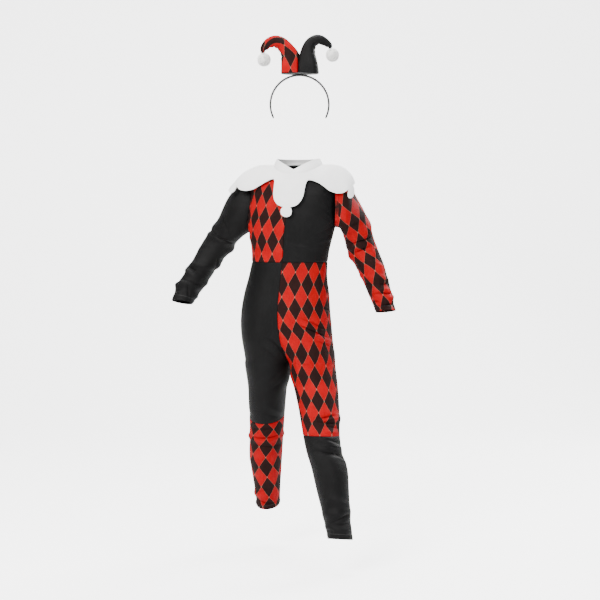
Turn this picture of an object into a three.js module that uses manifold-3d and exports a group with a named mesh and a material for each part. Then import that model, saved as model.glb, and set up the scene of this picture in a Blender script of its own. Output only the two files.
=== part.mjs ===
// A child's jester costume, hollow and in the pose in which it is worn: a one-piece motley suit of lozenge
// cloth and plain knit, a white petal collar on a neckband, and a headband with two stuffed horns.
// Millimetres. +Z is up, -Y is the front of the chest and +X is the wearer's left.
// The origin is the middle of the neck, level with the tops of the shoulders that carry the suit.

import * as THREE from "three";
import Module from "manifold-3d";
import { mergeVertices } from "three/addons/utils/BufferGeometryUtils.js";

const wasm = await Module();
wasm.setup();

const KNIT = 1.5; // wall of the suit's stretch cloth
const FELT = 2; // wall of the collar and the neckband
const SEAM = 0.3; // gap between two pieces that are sewn together
const PANEL_COLUMNS = 8; // facets across a quarter of the body
const TUBE_COLUMNS = 16; // facets round a sleeve or a lower leg
const PLAIN_STEP = 28; // distance between rings where the cloth is smooth
const FOLD_STEP = 9; // distance between rings across a fold
const CHEST_SLOPE = 1.5; // how fast a shoulder ring drops towards the chest
const BACK_SLOPE = 1.9; // and towards the back

const RIGHT = -1;
const LEFT = 1;
const QUARTER = Math.PI / 2;
const HALF = Math.PI;
const GAZE_TURN = radians(14); // the head and the arms face this far to the wearer's left of the chest

// A row for each ring of the bodice from the neck down. x and y are the ring's middle, z is its height at
// the side, wide is its reach to the side, and front, frontUp, back and backUp place its front and its back.
const BODICE = table(
  ["x", "y", "z", "wide", "front", "frontUp", "back", "backUp"],
  [
    [0, 0, 9, 62, 56, -15, 56, 14],
    [-1, 1.5, 6.5, 78, 62.5, -29, 62.5, 4],
    [-3, 2.5, 3, 94, 69.5, -44, 69.5, -8],
    [-4, 3, -3, 107, 74.5, -59, 75, -22],
    [-5, 4, -14, 116, 78, -74, 78, -40],
    [-7, 4.5, -34, 119, 80, -90, 80.5, -62],
    [-9, 5, -62, 118, 82, -108, 82, -86],
    [-13, 5, -95, 117, 83, -130, 82, -112],
    [-18, 5, -132, 115, 81, -152, 80, -140],
    [-20.5, 5, -168, 108, 78, -178, 76, -172],
    [-22, 4.5, -203, 101, 75.5, -206, 74.5, -205],
    [-24, 4, -234, 98, 74, -234, 74, -234],
  ],
);

// A row for each ring of the collar, 16.5 mm apart along the cloth, from the neck seam out. It lies on the
// chest and the back, and its sides pass over the heads of the sleeves.
const COLLAR_STEP = 16.5;
const COLLAR = table(
  ["left", "leftUp", "right", "rightUp", "front", "frontUp", "back", "backUp"],
  [
    [62.6, 11.3, 62.6, 11.3, 58.2, -14, 58, 15.3],
    [80, 12.5, 80, 13.5, 66, -27, 68, 8],
    [96, 10.5, 97, 12.5, 73.5, -41.5, 76.5, -5],
    [112, 5.5, 114, 8.5, 78.5, -57, 83, -19],
    [125.5, -3.5, 131, 1, 81, -73, 88, -35],
    [136.5, -15.5, 147, -8, 83, -89.5, 91.5, -51],
    [143.5, -31, 160, -20.5, 84.5, -106, 93.5, -67.5],
    [146.5, -47.5, 172.5, -34, 85.5, -122.5, 94, -84],
    [147.5, -64, 185, -46.5, 86, -139, 94, -100.5],
  ],
);
// The collar's scalloped edge over a quarter turn, from the front petal's middle to the shoulder petal's.
const COLLAR_EDGE = table(
  ["degrees", "reach"],
  [
    [0, 88.5],
    [5.5, 88],
    [10.7, 84],
    [15, 75],
    [18, 64],
    [21.5, 46.5],
    [25.5, 33],
    [28.5, 28],
    [31, 27],
    [35.3, 34.5],
    [39, 47],
    [42.5, 62],
    [45.5, 76],
    [49.5, 85],
    [54.5, 93.5],
    [66, 102.5],
    [90, 104],
  ],
);
// Where the collar's evenly cut edge lies as it is worn, a little askew: the notches and the petals' middles.
const COLLAR_SET = table(
  ["worn", "cut"],
  [
    [-180, -180],
    [-137, -149],
    [-76, -90],
    [-63, -66],
    [-54, -54.5],
    [-46, -45.5],
    [-40, -39],
    [-33.5, -31],
    [-3.5, 0],
    [28, 31],
    [38.5, 39],
    [44.5, 45.5],
    [52.5, 54.5],
    [61.5, 66],
    [74.5, 90],
    [128, 149],
    [180, 180],
  ],
);
const PETAL_TAB = 14; // radius of the round tab at the tip of each petal
const TAB_PAST_EDGE = 11; // distance of its middle past the petal's edge
const NECKBAND_NOTCH_UP = -1; // height of the bottom of the V in the front of the neckband
const NECKBAND_SIDE_UP = 28; // height of its top at the sides and the back
const NECKBAND_LEAN = 8; // how far it narrows towards the top

// Rings of the hips, shared by both legs: plane is the body's middle plane, out the leg's own middle from it.
// Above the crotch out is less than wide, so the two legs meet on the middle plane in a curved rise seam.
const HIP_COLUMNS = ["z", "plane", "out", "wide", "deep", "y", "pitch"];
const HIPS = [
  [-234, -24, 0, 98, 74, 4, 0],
  [-272, -29, 1, 101, 76, 5, 0],
  [-312, -33, 6, 104, 80, 8, 0],
  [-352, -36, 15, 100, 84, 10, 0],
  [-392, -36, 26, 92, 86, 12, 0],
  [-430, -33, 38, 80, 85, 12, 0],
  [-462, -28, 49, 68, 80, 11, 0],
  [-484, -24.3, 56.3, 60.5, 75, 9.5, 0],
  [-500, -24, 59.5, 58, 70, 8, 0],
];
// The right leg stands back and the left leg steps forward and out.
const RIGHT_LEG = table(HIP_COLUMNS, [
  ...HIPS,
  [-550, -24, 61, 50.5, 61, 12, 6],
  [-593, -24, 63.5, 48, 56, 17, 12],
  [-633, -24, 66, 46, 51, 24, 20],
  [-682, -24, 70.5, 44, 48.5, 37, 20],
  [-734, -24, 77.5, 43.5, 48, 54, 20],
  [-785, -24, 81, 39, 43, 74, 20],
  [-836, -24, 84, 34, 37, 94, 20],
  [-882, -24, 87, 31, 34, 112, 20],
]);
const LEFT_LEG = table(HIP_COLUMNS, [
  ...HIPS,
  [-552, -24, 72, 56, 63, -8, -5],
  [-605, -24, 86, 51.5, 57, -34, -8],
  [-666, -24, 101, 46, 51, -70, -5],
  [-705, -24, 112, 44.5, 49, -86, -6],
  [-745, -24, 128, 45, 48.5, -97, -8],
  [-800, -24, 140, 40, 43, -111, -10],
  [-855, -24, 152, 34, 38, -124, -12],
  [-911, -24, 164, 30.5, 34, -136, -12],
]);
const KNEE_ROW = 11; // the row of either leg at which the lower leg is sewn on

// Rings of the sleeves from inside the armhole to the cuff, square to the gaze. lean is the angle of the
// ring's outer side above level, and pitch the angle of its back above level.
const SLEEVE_COLUMNS = ["out", "back", "z", "lean", "wide", "deep", "pitch"];
const RIGHT_SLEEVE = table(SLEEVE_COLUMNS, [
  [100, 47, -80, 90, 66, 39, 0],
  [118, 50, -82, 88, 65, 41, 0],
  [136.5, 54, -94, 74, 59.5, 43, 5],
  [153, 60, -111, 60, 53, 44, 10],
  [171.5, 69, -139, 38, 41, 42, 18],
  [192, 81, -167, 24, 36, 39, 18],
  [209, 90, -188, 23, 37.5, 38, 10],
  [229, 91, -218.5, 22, 36, 37, 0],
  [254.5, 86, -258, 22, 32, 34, -9],
  [271, 80, -282, 22, 31.5, 33, -12],
  [287.5, 72, -308, 19, 31, 31, -13],
  [302.5, 62, -340, 9, 27, 27, -13],
]);
const LEFT_SLEEVE = table(SLEEVE_COLUMNS, [
  [92, -20, -80, 90, 65, 43, 0],
  [108, -18, -80, 87, 68, 46, 0],
  [121, -13, -94, 79, 63, 47, 3],
  [129, -3, -114, 73, 53, 46, 8],
  [143, 14, -140, 53, 43, 42, 14],
  [154, 28, -169, 31, 38, 38, 16],
  [163, 39, -196, 21, 37, 37, 8],
  [175, 40, -224, 20, 36, 36, 0],
  [190, 36, -256, 20, 33.5, 34, -6],
  [201, 30, -289, 16, 30.5, 31, -8],
  [213, 22, -325, 10, 28, 29, -9],
  [224, 12, -361, 5, 25, 26, -10],
]);

// The largest folds. place is the distance down the sleeve or the leg, degrees the fold's middle round it
// (0 is the front and 90 the outside), reach half its length in degrees, and slope its drop in millimetres
// for each radian that it runs outwards. width is half its breadth, and height is below zero for a trough.
const FOLD_COLUMNS = ["place", "degrees", "reach", "slope", "width", "height"];
const RIGHT_SLEEVE_FOLDS = table(FOLD_COLUMNS, [
  [132, 70, 90, -8, 11, 5],
  [240, 20, 120, 10, 11, 4.5],
  [268, 50, 130, -9, 11, 5],
  [300, 20, 150, 8, 11, 5],
]);
const LEFT_SLEEVE_FOLDS = table(FOLD_COLUMNS, [
  [120, 70, 90, -9, 11, 4.5],
  [148, -20, 110, 10, 11, 4],
  [256, 30, 120, 10, 11, 4.5],
  [292, 20, 140, 9, 11, 4.5],
]);
const RIGHT_LEG_FOLDS = table(FOLD_COLUMNS, [
  [454, 0, 110, 0, 11, 4.5],
  [632, 60, 120, 10, 11, 4],
]);
const LEFT_LEG_FOLDS = table(FOLD_COLUMNS, [
  [196, 50, 60, 26, 12, 4],
  [416, 75, 70, 8, 11, 4],
  [478, 40, 90, 16, 11, 4.5],
  [642, 50, 100, 14, 11, 4],
  [668, 10, 140, -5, 11, 4],
]);
const ELBOW_ROW = 6; // the row of both sleeves at which their upper and lower parts meet
const FOLD_ZONE = 1.3; // breadths from a fold within which the rings stand close

// The headband, seen square to the gaze: an arc over the crown.
const HEAD_ACROSS = 3;
const HEAD_UP = 165;
const HEAD_BACK = 4;
const BAND_RADIUS = 76.5;
const BAND_THICKNESS = 3;
const BAND_WIDTH = 13;
const BAND_REACH = radians(118); // half the arc
const HAT_BASE = { across: 3.8, up: 241.8, wide: 47, deep: 25, thickness: 2 };
// Rings of the two stuffed horns along their middles, square to the gaze.
const HORN_COLUMNS = ["across", "up", "wide", "deep", "square"];
const RIGHT_HORN = table(HORN_COLUMNS, [
  [-20.4, 244.2, 23.8, 23, 3],
  [-20.4, 262, 23.6, 23.5, 3],
  [-21, 279, 23, 23, 2.7],
  [-24, 293, 20.8, 21.5, 2.4],
  [-32, 307, 18.2, 19.5, 2.2],
  [-43.5, 318.5, 16.6, 17.8, 2],
  [-58, 324, 15.3, 16, 2],
  [-72, 321.5, 13.2, 13.8, 2],
  [-83.5, 313, 10.6, 11, 2],
  [-89.8, 303, 7.4, 7.6, 2],
  [-89, 295.2, 4.2, 4.2, 2],
]);
const LEFT_HORN = table(HORN_COLUMNS, [
  [28, 244.2, 23.8, 23, 3],
  [27.2, 262, 23, 23.5, 3],
  [25.4, 279, 21, 22, 2.7],
  [24.2, 294, 18.8, 20, 2.4],
  [26.5, 308, 17, 18.4, 2.2],
  [33, 320, 15, 16.4, 2],
  [43.5, 327.4, 13.2, 14.6, 2],
  [55.5, 328.2, 11.9, 12.8, 2],
  [67.5, 322.5, 10.2, 10.6, 2],
  [78.5, 314.5, 7.4, 7.6, 2],
  [81, 306.5, 4.4, 4.4, 2],
]);
const HORN_COLUMNS_ROUND = 12;
const HORN_STEP = 10;
const POMPOM_RADIUS = 17;
const POMPOM_CORE = 11.5;
const POMPOM_TUFTS = 26;
const TUFT_ROOT = 4.6; // radius of a tuft where it leaves the core
const POMPOM_GAP = 0.4;

// A placket of hook-and-loop tape covers the suit's opening down the middle of the back.
const PLACKET_WIDTH = 22;
const PLACKET_THICKNESS = 1.5;

function radians(degrees) {
  return (degrees * Math.PI) / 180;
}

function table(columns, rows) {
  return rows.map((row) => Object.fromEntries(columns.map((name, i) => [name, row[i]])));
}

// Gives each row the distance along the cloth at which it stands.
function measured(rows, middleOf) {
  let place = 0;
  return rows.map((row, i) => {
    if (i) place += middleOf(row).distanceTo(middleOf(rows[i - 1]));
    return { ...row, place };
  });
}

// Every column of the rows at a distance along the cloth, on a smooth curve through the rows.
function between(rows, place) {
  const last = rows.length - 1;
  let i = 0;
  while (i < last - 1 && rows[i + 1].place <= place) i++;
  const [a, b, c, d] = [-1, 0, 1, 2].map((k) => rows[Math.min(Math.max(i + k, 0), last)]);
  const t = (place - b.place) / (c.place - b.place);
  const mixed = {};
  for (const name of Object.keys(b)) {
    const in0 = (c[name] - a[name]) / (a === b ? 1 : 2);
    const out1 = (d[name] - b[name]) / (c === d ? 1 : 2);
    const rise = c[name] - b[name];
    mixed[name] = b[name] + t * (in0 + t * (3 * rise - 2 * in0 - out1 + t * (in0 + out1 - 2 * rise)));
  }
  return mixed;
}

// How far the cloth stands out of its plain form at one place.
function foldHeight(folds, angle, place) {
  let height = 0;
  for (const fold of folds) {
    const reach = radians(fold.reach);
    let run = angle - radians(fold.degrees);
    run -= 2 * HALF * Math.round(run / (2 * HALF));
    if (Math.abs(run) >= reach) continue;
    const off = (place - fold.place - fold.slope * Math.sin(run)) / fold.width;
    height += fold.height * Math.exp(-off * off) * Math.cos((QUARTER * run) / reach) ** 2;
  }
  return height;
}

// A surface is { point(angle, place), facing }: facing is 1 where the angle runs from the front to the
// wearer's left, and -1 where it runs to the right.
function normalOf(surface, angle, place) {
  const round = slopeOf(surface.plain, angle, place, 1e-3, 0);
  const along = slopeOf(surface.plain, angle, place, 0, 0.5);
  return along.cross(round).multiplyScalar(surface.facing).normalize();
}

function slopeOf(point, angle, place, turn, step) {
  return point(angle + turn, place + step).sub(point(angle - turn, place - step));
}

function surfaceOf(plain, facing, folds = []) {
  const surface = { plain, facing };
  surface.point = (angle, place, lift = 0) => {
    const height = lift + (folds.length ? foldHeight(folds, angle, place) : 0);
    const base = plain(angle, place);
    return height ? base.addScaledVector(normalOf(surface, angle, place), height) : base;
  };
  return surface;
}

// The places of the rings from one end of a piece to the other: close together across the folds.
function ringPlaces(start, end, folds = []) {
  const places = [start];
  const inFold = (p) =>
    folds.some((f) => Math.abs(p - f.place) < FOLD_ZONE * f.width + Math.abs(f.slope) / 2);
  while (places.at(-1) < end) {
    const here = places.at(-1);
    const step = inFold(here) || inFold(here + FOLD_STEP) ? FOLD_STEP : PLAIN_STEP;
    places.push(Math.min(here + step, end));
  }
  if (places.length > 2 && end - places.at(-2) < FOLD_STEP / 2) places.splice(-2, 1);
  return places;
}

// A closed wall of cloth over a surface. Each ring runs from low(place) to high(place), or all round.
function wall(surface, places, low, high, columns, thickness, options = {}) {
  const { round = false, lift = 0, widthOf = null } = options;
  const rings = places.map((place) =>
    Array.from({ length: round ? columns : columns + 1 }, (_, j) => {
      const angle = low(place) + ((high(place) - low(place)) * j) / columns;
      const there = widthOf ? widthOf(angle, place) : place;
      const outer = surface.point(angle, there, lift);
      const inner = outer.clone().addScaledVector(normalOf(surface, angle, there), -thickness);
      return { outer, inner };
    }),
  );
  return closedGrid(rings, round, surface.facing > 0);
}

// Joins rings of outer and inner points into one closed wall.
function closedGrid(rings, round, forward) {
  const around = rings[0].length;
  const positions = [];
  for (const key of ["outer", "inner"])
    for (const ring of rings) for (const spot of ring) positions.push(...spot[key].toArray());
  const at = (inner, i, j) => (inner ? rings.length * around : 0) + i * around + (j % around);
  const faces = [];
  const quad = (a, b, c, d) =>
    faces.push(...(forward ? [a, b, c, a, c, d] : [a, c, b, a, d, c]));
  const spans = round ? around : around - 1;
  const bottom = rings.length - 1;
  for (let i = 0; i < bottom; i++)
    for (let j = 0; j < spans; j++) {
      quad(at(0, i, j), at(0, i + 1, j), at(0, i + 1, j + 1), at(0, i, j + 1));
      quad(at(1, i, j), at(1, i, j + 1), at(1, i + 1, j + 1), at(1, i + 1, j));
    }
  for (let j = 0; j < spans; j++) {
    quad(at(0, 0, j), at(0, 0, j + 1), at(1, 0, j + 1), at(1, 0, j));
    quad(at(0, bottom, j), at(1, bottom, j), at(1, bottom, j + 1), at(0, bottom, j + 1));
  }
  if (!round)
    for (let i = 0; i < bottom; i++) {
      quad(at(0, i, 0), at(1, i, 0), at(1, i + 1, 0), at(0, i + 1, 0));
      quad(at(0, i, spans), at(0, i + 1, spans), at(1, i + 1, spans), at(1, i, spans));
    }
  return indexed(positions, faces);
}

function indexed(positions, faces) {
  const geometry = new THREE.BufferGeometry();
  geometry.setAttribute("position", new THREE.Float32BufferAttribute(positions, 3));
  return geometry.setIndex(faces);
}

// A filled tube through rings of points, closed at both ends by a fan.
function filledTube(rings, forward) {
  const around = rings[0].length;
  const positions = rings.flat().flatMap((p) => p.toArray());
  const faces = [];
  const triangle = (a, b, c) => faces.push(...(forward ? [a, b, c] : [a, c, b]));
  const at = (i, j) => i * around + (j % around);
  for (let i = 0; i < rings.length - 1; i++)
    for (let j = 0; j < around; j++) {
      triangle(at(i, j), at(i + 1, j), at(i + 1, j + 1));
      triangle(at(i, j), at(i + 1, j + 1), at(i, j + 1));
    }
  for (const end of [0, rings.length - 1]) {
    const middle = rings[end].reduce((sum, p) => sum.add(p), new THREE.Vector3());
    const hub = positions.length / 3;
    positions.push(...middle.divideScalar(around).toArray());
    for (let j = 0; j < around; j++)
      end ? triangle(at(end, j), hub, at(end, j + 1)) : triangle(at(0, j), at(0, j + 1), hub);
  }
  return indexed(positions, faces);
}

// The space inside a surface, grown by lift, for cutting its neighbours.
function spaceIn(surface, places, columns, lift) {
  const rings = places.map((place) =>
    Array.from({ length: columns }, (_, j) => surface.point((2 * HALF * j) / columns, place, lift)),
  );
  return solidOf(filledTube(rings, surface.facing > 0));
}

function solidOf(geometry) {
  const bare = geometry.clone();
  for (const name of ["normal", "uv"]) bare.deleteAttribute(name);
  const merged = mergeVertices(bare, 1e-4);
  const vertProperties = merged.attributes.position.array;
  const triVerts = new Uint32Array(merged.index.array);
  return new wasm.Manifold(new wasm.Mesh({ numProp: 3, vertProperties, triVerts }));
}

// The largest body of a cut solid, as a geometry.
function geometryOf(solid) {
  const body = solid.decompose().reduce((a, b) => (b.volume() > a.volume() ? b : a));
  const mesh = body.getMesh();
  return indexed(Array.from(mesh.vertProperties), Array.from(mesh.triVerts));
}

function turned(point, angle) {
  return point.applyAxisAngle(new THREE.Vector3(0, 0, 1), angle);
}

// Share of the drop from the side of a shoulder ring to its front or its back.
function shoulderSlope(forward) {
  return Math.abs(forward) ** (forward > 0 ? CHEST_SLOPE : BACK_SLOPE);
}

function bodiceSurface() {
  const rows = measured(BODICE, (row) => new THREE.Vector3(row.wide, 0, row.z));
  const plain = (angle, place) => {
    const row = between(rows, place);
    const forward = Math.cos(angle);
    const [reach, up] = forward > 0 ? [row.front, row.frontUp] : [row.back, row.backUp];
    return new THREE.Vector3(
      row.x + row.wide * Math.sin(angle),
      row.y - reach * forward,
      row.z + (up - row.z) * shoulderSlope(forward),
    );
  };
  return { ...surfaceOf(plain, 1), length: rows.at(-1).place };
}

function collarSurface() {
  const rows = COLLAR.map((row, i) => ({ ...row, place: COLLAR_STEP * i }));
  const plain = (angle, place) => {
    const row = between(rows, place);
    const forward = Math.cos(angle);
    const leftward = Math.sin(angle);
    const [reach, up] = forward > 0 ? [row.front, row.frontUp] : [row.back, row.backUp];
    const [wide, sideUp] = leftward > 0 ? [row.left, row.leftUp] : [row.right, row.rightUp];
    const height = sideUp + (up - sideUp) * shoulderSlope(forward);
    return new THREE.Vector3(wide * leftward, -reach * forward, height);
  };
  return surfaceOf(plain, 1);
}

// A point of a ring: outwards at 90 degrees, forwards at 0. row gives the ring's middle, size and tilt.
function ringPoint(row, side, angle) {
  const lean = radians(row.lean ?? 0);
  const pitch = radians(row.pitch);
  const outward = new THREE.Vector3(side * Math.cos(lean), 0, Math.sin(lean));
  const backward = new THREE.Vector3(0, Math.cos(pitch), Math.sin(pitch));
  return new THREE.Vector3(row.x, row.y, row.z)
    .addScaledVector(outward, row.wide * Math.sin(angle))
    .addScaledVector(backward, -row.deep * Math.cos(angle));
}

function legSurface(legRows, side, folds) {
  const middled = legRows.map((row) => ({ ...row, x: row.plane + side * row.out }));
  const rows = measured(middled, (row) => new THREE.Vector3(row.x, row.y, row.z));
  const plain = (angle, place) => ringPoint(between(rows, place), side, angle);
  const surface = surfaceOf(plain, side, folds);
  // The angle at which a ring meets the middle plane: the rise seam above the crotch, the inseam below it.
  surface.inner = (place) => {
    const row = between(rows, place);
    return -Math.asin(Math.min(1, Math.max(0, (row.out - SEAM / 2) / row.wide)));
  };
  return { ...surface, rows, length: rows.at(-1).place, knee: rows[KNEE_ROW].place };
}

function sleeveSurface(sleeveRows, side, folds) {
  const middled = sleeveRows.map((row) => ({ ...row, x: side * row.out, y: row.back }));
  const rows = measured(middled, (row) => new THREE.Vector3(row.x, row.y, row.z));
  const plain = (angle, place) => turned(ringPoint(between(rows, place), side, angle), GAZE_TURN);
  return { ...surfaceOf(plain, side, folds), length: rows.at(-1).place, elbow: rows[ELBOW_ROW].place };
}

// Angle that moves an edge back by half a seam gap.
function seamAngle(surface, angle, place) {
  const speed = slopeOf(surface.point, angle, place, 1e-3, 0).length() / 2e-3;
  return SEAM / 2 / speed;
}

function bodicePanel(bodice, fromDegrees, toDegrees, armhole) {
  const [from, to] = [radians(fromDegrees), radians(toDegrees)];
  const low = (place) => from + seamAngle(bodice, from, place);
  const high = (place) => to - seamAngle(bodice, to, place);
  const places = ringPlaces(SEAM / 2, bodice.length - SEAM / 2);
  const panel = wall(bodice, places, low, high, PANEL_COLUMNS, KNIT);
  return geometryOf(solidOf(panel).subtract(armhole));
}

function legPanel(leg, isFront, folds) {
  const low = (place) => {
    const inner = leg.inner(place);
    const onPlane = inner > -QUARTER + 1e-6;
    return isFront ? inner + (onPlane ? 0 : seamAngle(leg, inner, place)) : sideSeam(place, 1);
  };
  const high = (place) => {
    if (isFront) return sideSeam(place, -1);
    const inner = leg.inner(place);
    const onPlane = inner > -QUARTER + 1e-6;
    return HALF - inner - (onPlane ? 0 : seamAngle(leg, inner, place));
  };
  const sideSeam = (place, way) => QUARTER + way * seamAngle(leg, QUARTER, place);
  const places = ringPlaces(SEAM / 2, leg.knee - SEAM / 2, folds);
  const crotch = leg.rows[HIPS.length - 1].place;
  const dense = [-22, -9, 0].map((step) => crotch + step);
  const near = (p) => dense.some((d) => Math.abs(d - p) < 8);
  const all = [...places.filter((p, i) => !near(p) || !i), ...dense].sort((a, b) => a - b);
  return wall(leg, all, low, high, PANEL_COLUMNS, KNIT);
}

function upperSleeve(surface, folds, bodySpace) {
  const places = ringPlaces(0, surface.elbow - SEAM / 2, folds);
  const tube = wall(surface, places, () => 0, () => 2 * HALF, TUBE_COLUMNS, KNIT, { round: true });
  return geometryOf(solidOf(tube).subtract(bodySpace));
}

function lowerSleeve(surface, folds) {
  const places = ringPlaces(surface.elbow + SEAM / 2, surface.length, folds);
  return wall(surface, places, () => 0, () => 2 * HALF, TUBE_COLUMNS, KNIT, { round: true });
}

function lowerLeg(leg, folds) {
  const places = ringPlaces(leg.knee + SEAM / 2, leg.length, folds);
  return wall(leg, places, () => 0, () => 2 * HALF, TUBE_COLUMNS, KNIT, { round: true });
}

// How far the collar reaches from the neck seam at an angle round it: four petals.
function petalReach(angle) {
  const cut = Math.abs(steps(COLLAR_SET, "worn", "cut", (angle * 180) / Math.PI));
  const rows = COLLAR_EDGE.map((row) => ({ ...row, place: row.degrees }));
  return between(rows, cut > 90 ? 180 - cut : cut).reach;
}

// One column of the rows at a value of another, in straight steps.
function steps(rows, from, to, value) {
  const next = Math.max(1, rows.findIndex((row) => row[from] >= value));
  const [a, b] = [rows[next - 1], rows[next]];
  return a[to] + ((b[to] - a[to]) * (value - a[from])) / (b[from] - a[from]);
}

function collar() {
  const surface = collarSurface();
  const rings = 5;
  const slit = seamAngle(surface, HALF, 20);
  const shares = Array.from({ length: rings + 1 }, (_, i) => i / rings);
  const sheet = wall(surface, shares, () => slit - HALF, () => HALF - slit, 96, FELT, {
    widthOf: (angle, share) => SEAM + share * (petalReach(angle) - SEAM),
  });
  let joined = solidOf(sheet);
  const middles = COLLAR_SET.filter((row) => row.worn > -180 && row.cut % 90 === 0);
  for (const row of middles) joined = joined.add(solidOf(tab(surface, radians(row.worn))));
  const slitBox = new THREE.BoxGeometry(2 * SEAM, 80, 200).translate(0, 90, -60);
  return geometryOf(joined.subtract(solidOf(slitBox)));
}

// The round tab at a petal's tip: a disc in the collar's own cloth.
function tab(surface, angle) {
  const middle = petalReach(angle) + TAB_PAST_EDGE;
  const speed = slopeOf(surface.plain, angle, middle, 1e-3, 0).length() / 2e-3;
  const around = 16;
  const ring = (radius) =>
    Array.from({ length: around }, (_, j) => {
      const turn = (2 * HALF * j) / around;
      const a = angle + (radius * Math.sin(turn)) / speed;
      const p = middle + radius * Math.cos(turn);
      const outer = surface.point(a, p);
      return { outer, inner: outer.clone().addScaledVector(normalOf(surface, a, p), -FELT) };
    });
  const [rim, hub] = [ring(PETAL_TAB), ring(PETAL_TAB / 2)];
  const loops = [hub.map((s) => s.outer), rim.map((s) => s.outer), rim.map((s) => s.inner), hub.map((s) => s.inner)];
  return filledTube(loops, true);
}

function neckband() {
  const surface = collarSurface();
  const columns = 40;
  const slit = seamAngle(surface, HALF, 1);
  const rings = [0, 0.5, 1].map((share) =>
    Array.from({ length: columns + 1 }, (_, j) => {
      const angle = slit - HALF + ((2 * HALF - 2 * slit) * j) / columns;
      const foot = surface.plain(angle, 0);
      const outward = new THREE.Vector3(foot.x, foot.y, 0).normalize();
      const rise = Math.abs(angle) < QUARTER ? Math.abs(Math.sin(angle)) : 1;
      const top = NECKBAND_NOTCH_UP + (NECKBAND_SIDE_UP - NECKBAND_NOTCH_UP) * rise;
      const outer = foot.clone().addScaledVector(outward, -share * NECKBAND_LEAN);
      outer.z += SEAM + share * (top - foot.z - SEAM);
      return { outer, inner: outer.clone().addScaledVector(outward, -FELT) };
    }),
  );
  return closedGrid(rings, false, false);
}

function placket(bodice) {
  const speed = slopeOf(bodice.point, HALF, 100, 1e-3, 0).length() / 2e-3;
  const half = PLACKET_WIDTH / 2 / speed;
  const places = ringPlaces(SEAM / 2, bodice.length - SEAM / 2).slice(1);
  const lift = PLACKET_THICKNESS + SEAM;
  return wall(bodice, places, () => HALF - half, () => HALF + half, 2, PLACKET_THICKNESS, { lift });
}

function headband() {
  const shape = new THREE.Shape();
  const inner = BAND_RADIUS - BAND_THICKNESS;
  const middle = BAND_RADIUS - BAND_THICKNESS / 2;
  const [start, end] = [QUARTER - BAND_REACH, QUARTER + BAND_REACH];
  shape.absarc(0, 0, BAND_RADIUS, start, end, false);
  const tip = [middle * Math.cos(end), middle * Math.sin(end)];
  shape.absarc(...tip, BAND_THICKNESS / 2, end, end + HALF, false);
  shape.absarc(0, 0, inner, end, start, true);
  const root = [middle * Math.cos(start), middle * Math.sin(start)];
  shape.absarc(...root, BAND_THICKNESS / 2, start + HALF, start + 2 * HALF, false);
  const geometry = new THREE.ExtrudeGeometry(shape, {
    depth: BAND_WIDTH,
    bevelEnabled: false,
    curveSegments: 16,
  });
  geometry.rotateX(QUARTER).translate(HEAD_ACROSS, HEAD_BACK + BAND_WIDTH / 2, HEAD_UP);
  return geometry.rotateZ(GAZE_TURN);
}

function hatBase() {
  const { across, up, wide, deep, thickness } = HAT_BASE;
  const geometry = new THREE.CylinderGeometry(1, 1, thickness, 32);
  geometry.rotateX(QUARTER).scale(wide, deep, 1);
  geometry.translate(across, HEAD_BACK, up + thickness / 2);
  return geometry.rotateZ(GAZE_TURN);
}

function superRound(value, square) {
  return Math.sign(value) * Math.abs(value) ** (2 / square);
}

function horn(hornRows) {
  const middleOf = (row) => new THREE.Vector3(row.across, HEAD_BACK, row.up);
  const rows = measured(hornRows, middleOf);
  const length = rows.at(-1).place;
  const count = Math.ceil(length / HORN_STEP);
  const rings = Array.from({ length: count + 1 }, (_, i) => {
    const place = (length * i) / count;
    const row = between(rows, place);
    const ahead = middleOf(between(rows, Math.min(place + 1, length)));
    const along = ahead.sub(middleOf(between(rows, Math.max(place - 1, 0)))).normalize();
    if (!i) along.set(0, 0, 1);
    const across = new THREE.Vector3(along.z, 0, -along.x);
    return Array.from({ length: HORN_COLUMNS_ROUND }, (_, j) => {
      const turn = (2 * HALF * j) / HORN_COLUMNS_ROUND;
      const point = middleOf(row).addScaledVector(across, row.wide * superRound(Math.cos(turn), row.square));
      point.y += row.deep * superRound(Math.sin(turn), row.square);
      return turned(point, GAZE_TURN);
    });
  });
  return filledTube(rings.reverse(), true);
}

// A ball of locks at the end of a horn: short three-sided tufts, evenly spread, with their roots fused into
// a core. One tuft meets the horn's tip.
function pompom(hornRows) {
  const [before, tip] = hornRows.slice(-2).map((row) => new THREE.Vector3(row.across, HEAD_BACK, row.up));
  const outward = tip.clone().sub(before).normalize();
  const place = turned(tip.addScaledVector(outward, POMPOM_RADIUS + POMPOM_GAP), GAZE_TURN);
  const towardsTip = turned(outward.negate(), GAZE_TURN);
  let ball = solidOf(new THREE.IcosahedronGeometry(POMPOM_CORE, 1));
  const golden = HALF * (3 - Math.sqrt(5));
  for (let k = 0; k < POMPOM_TUFTS; k++) {
    const up = 1 - (2 * k) / (POMPOM_TUFTS - 1);
    const flat = Math.sqrt(1 - up * up);
    const way = new THREE.Vector3(flat * Math.cos(golden * k), flat * Math.sin(golden * k), up);
    const length = POMPOM_RADIUS - POMPOM_CORE / 2;
    const tuft = new THREE.CylinderGeometry(TUFT_ROOT / 2, TUFT_ROOT, length, 3);
    tuft.translate(0, POMPOM_CORE / 2 + length / 2, 0);
    tuft.applyQuaternion(new THREE.Quaternion().setFromUnitVectors(new THREE.Vector3(0, 1, 0), way));
    ball = ball.add(solidOf(tuft));
  }
  const facing = new THREE.Quaternion().setFromUnitVectors(new THREE.Vector3(0, 0, 1), towardsTip);
  return geometryOf(ball).applyQuaternion(facing).translate(place.x, place.y, place.z);
}

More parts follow.
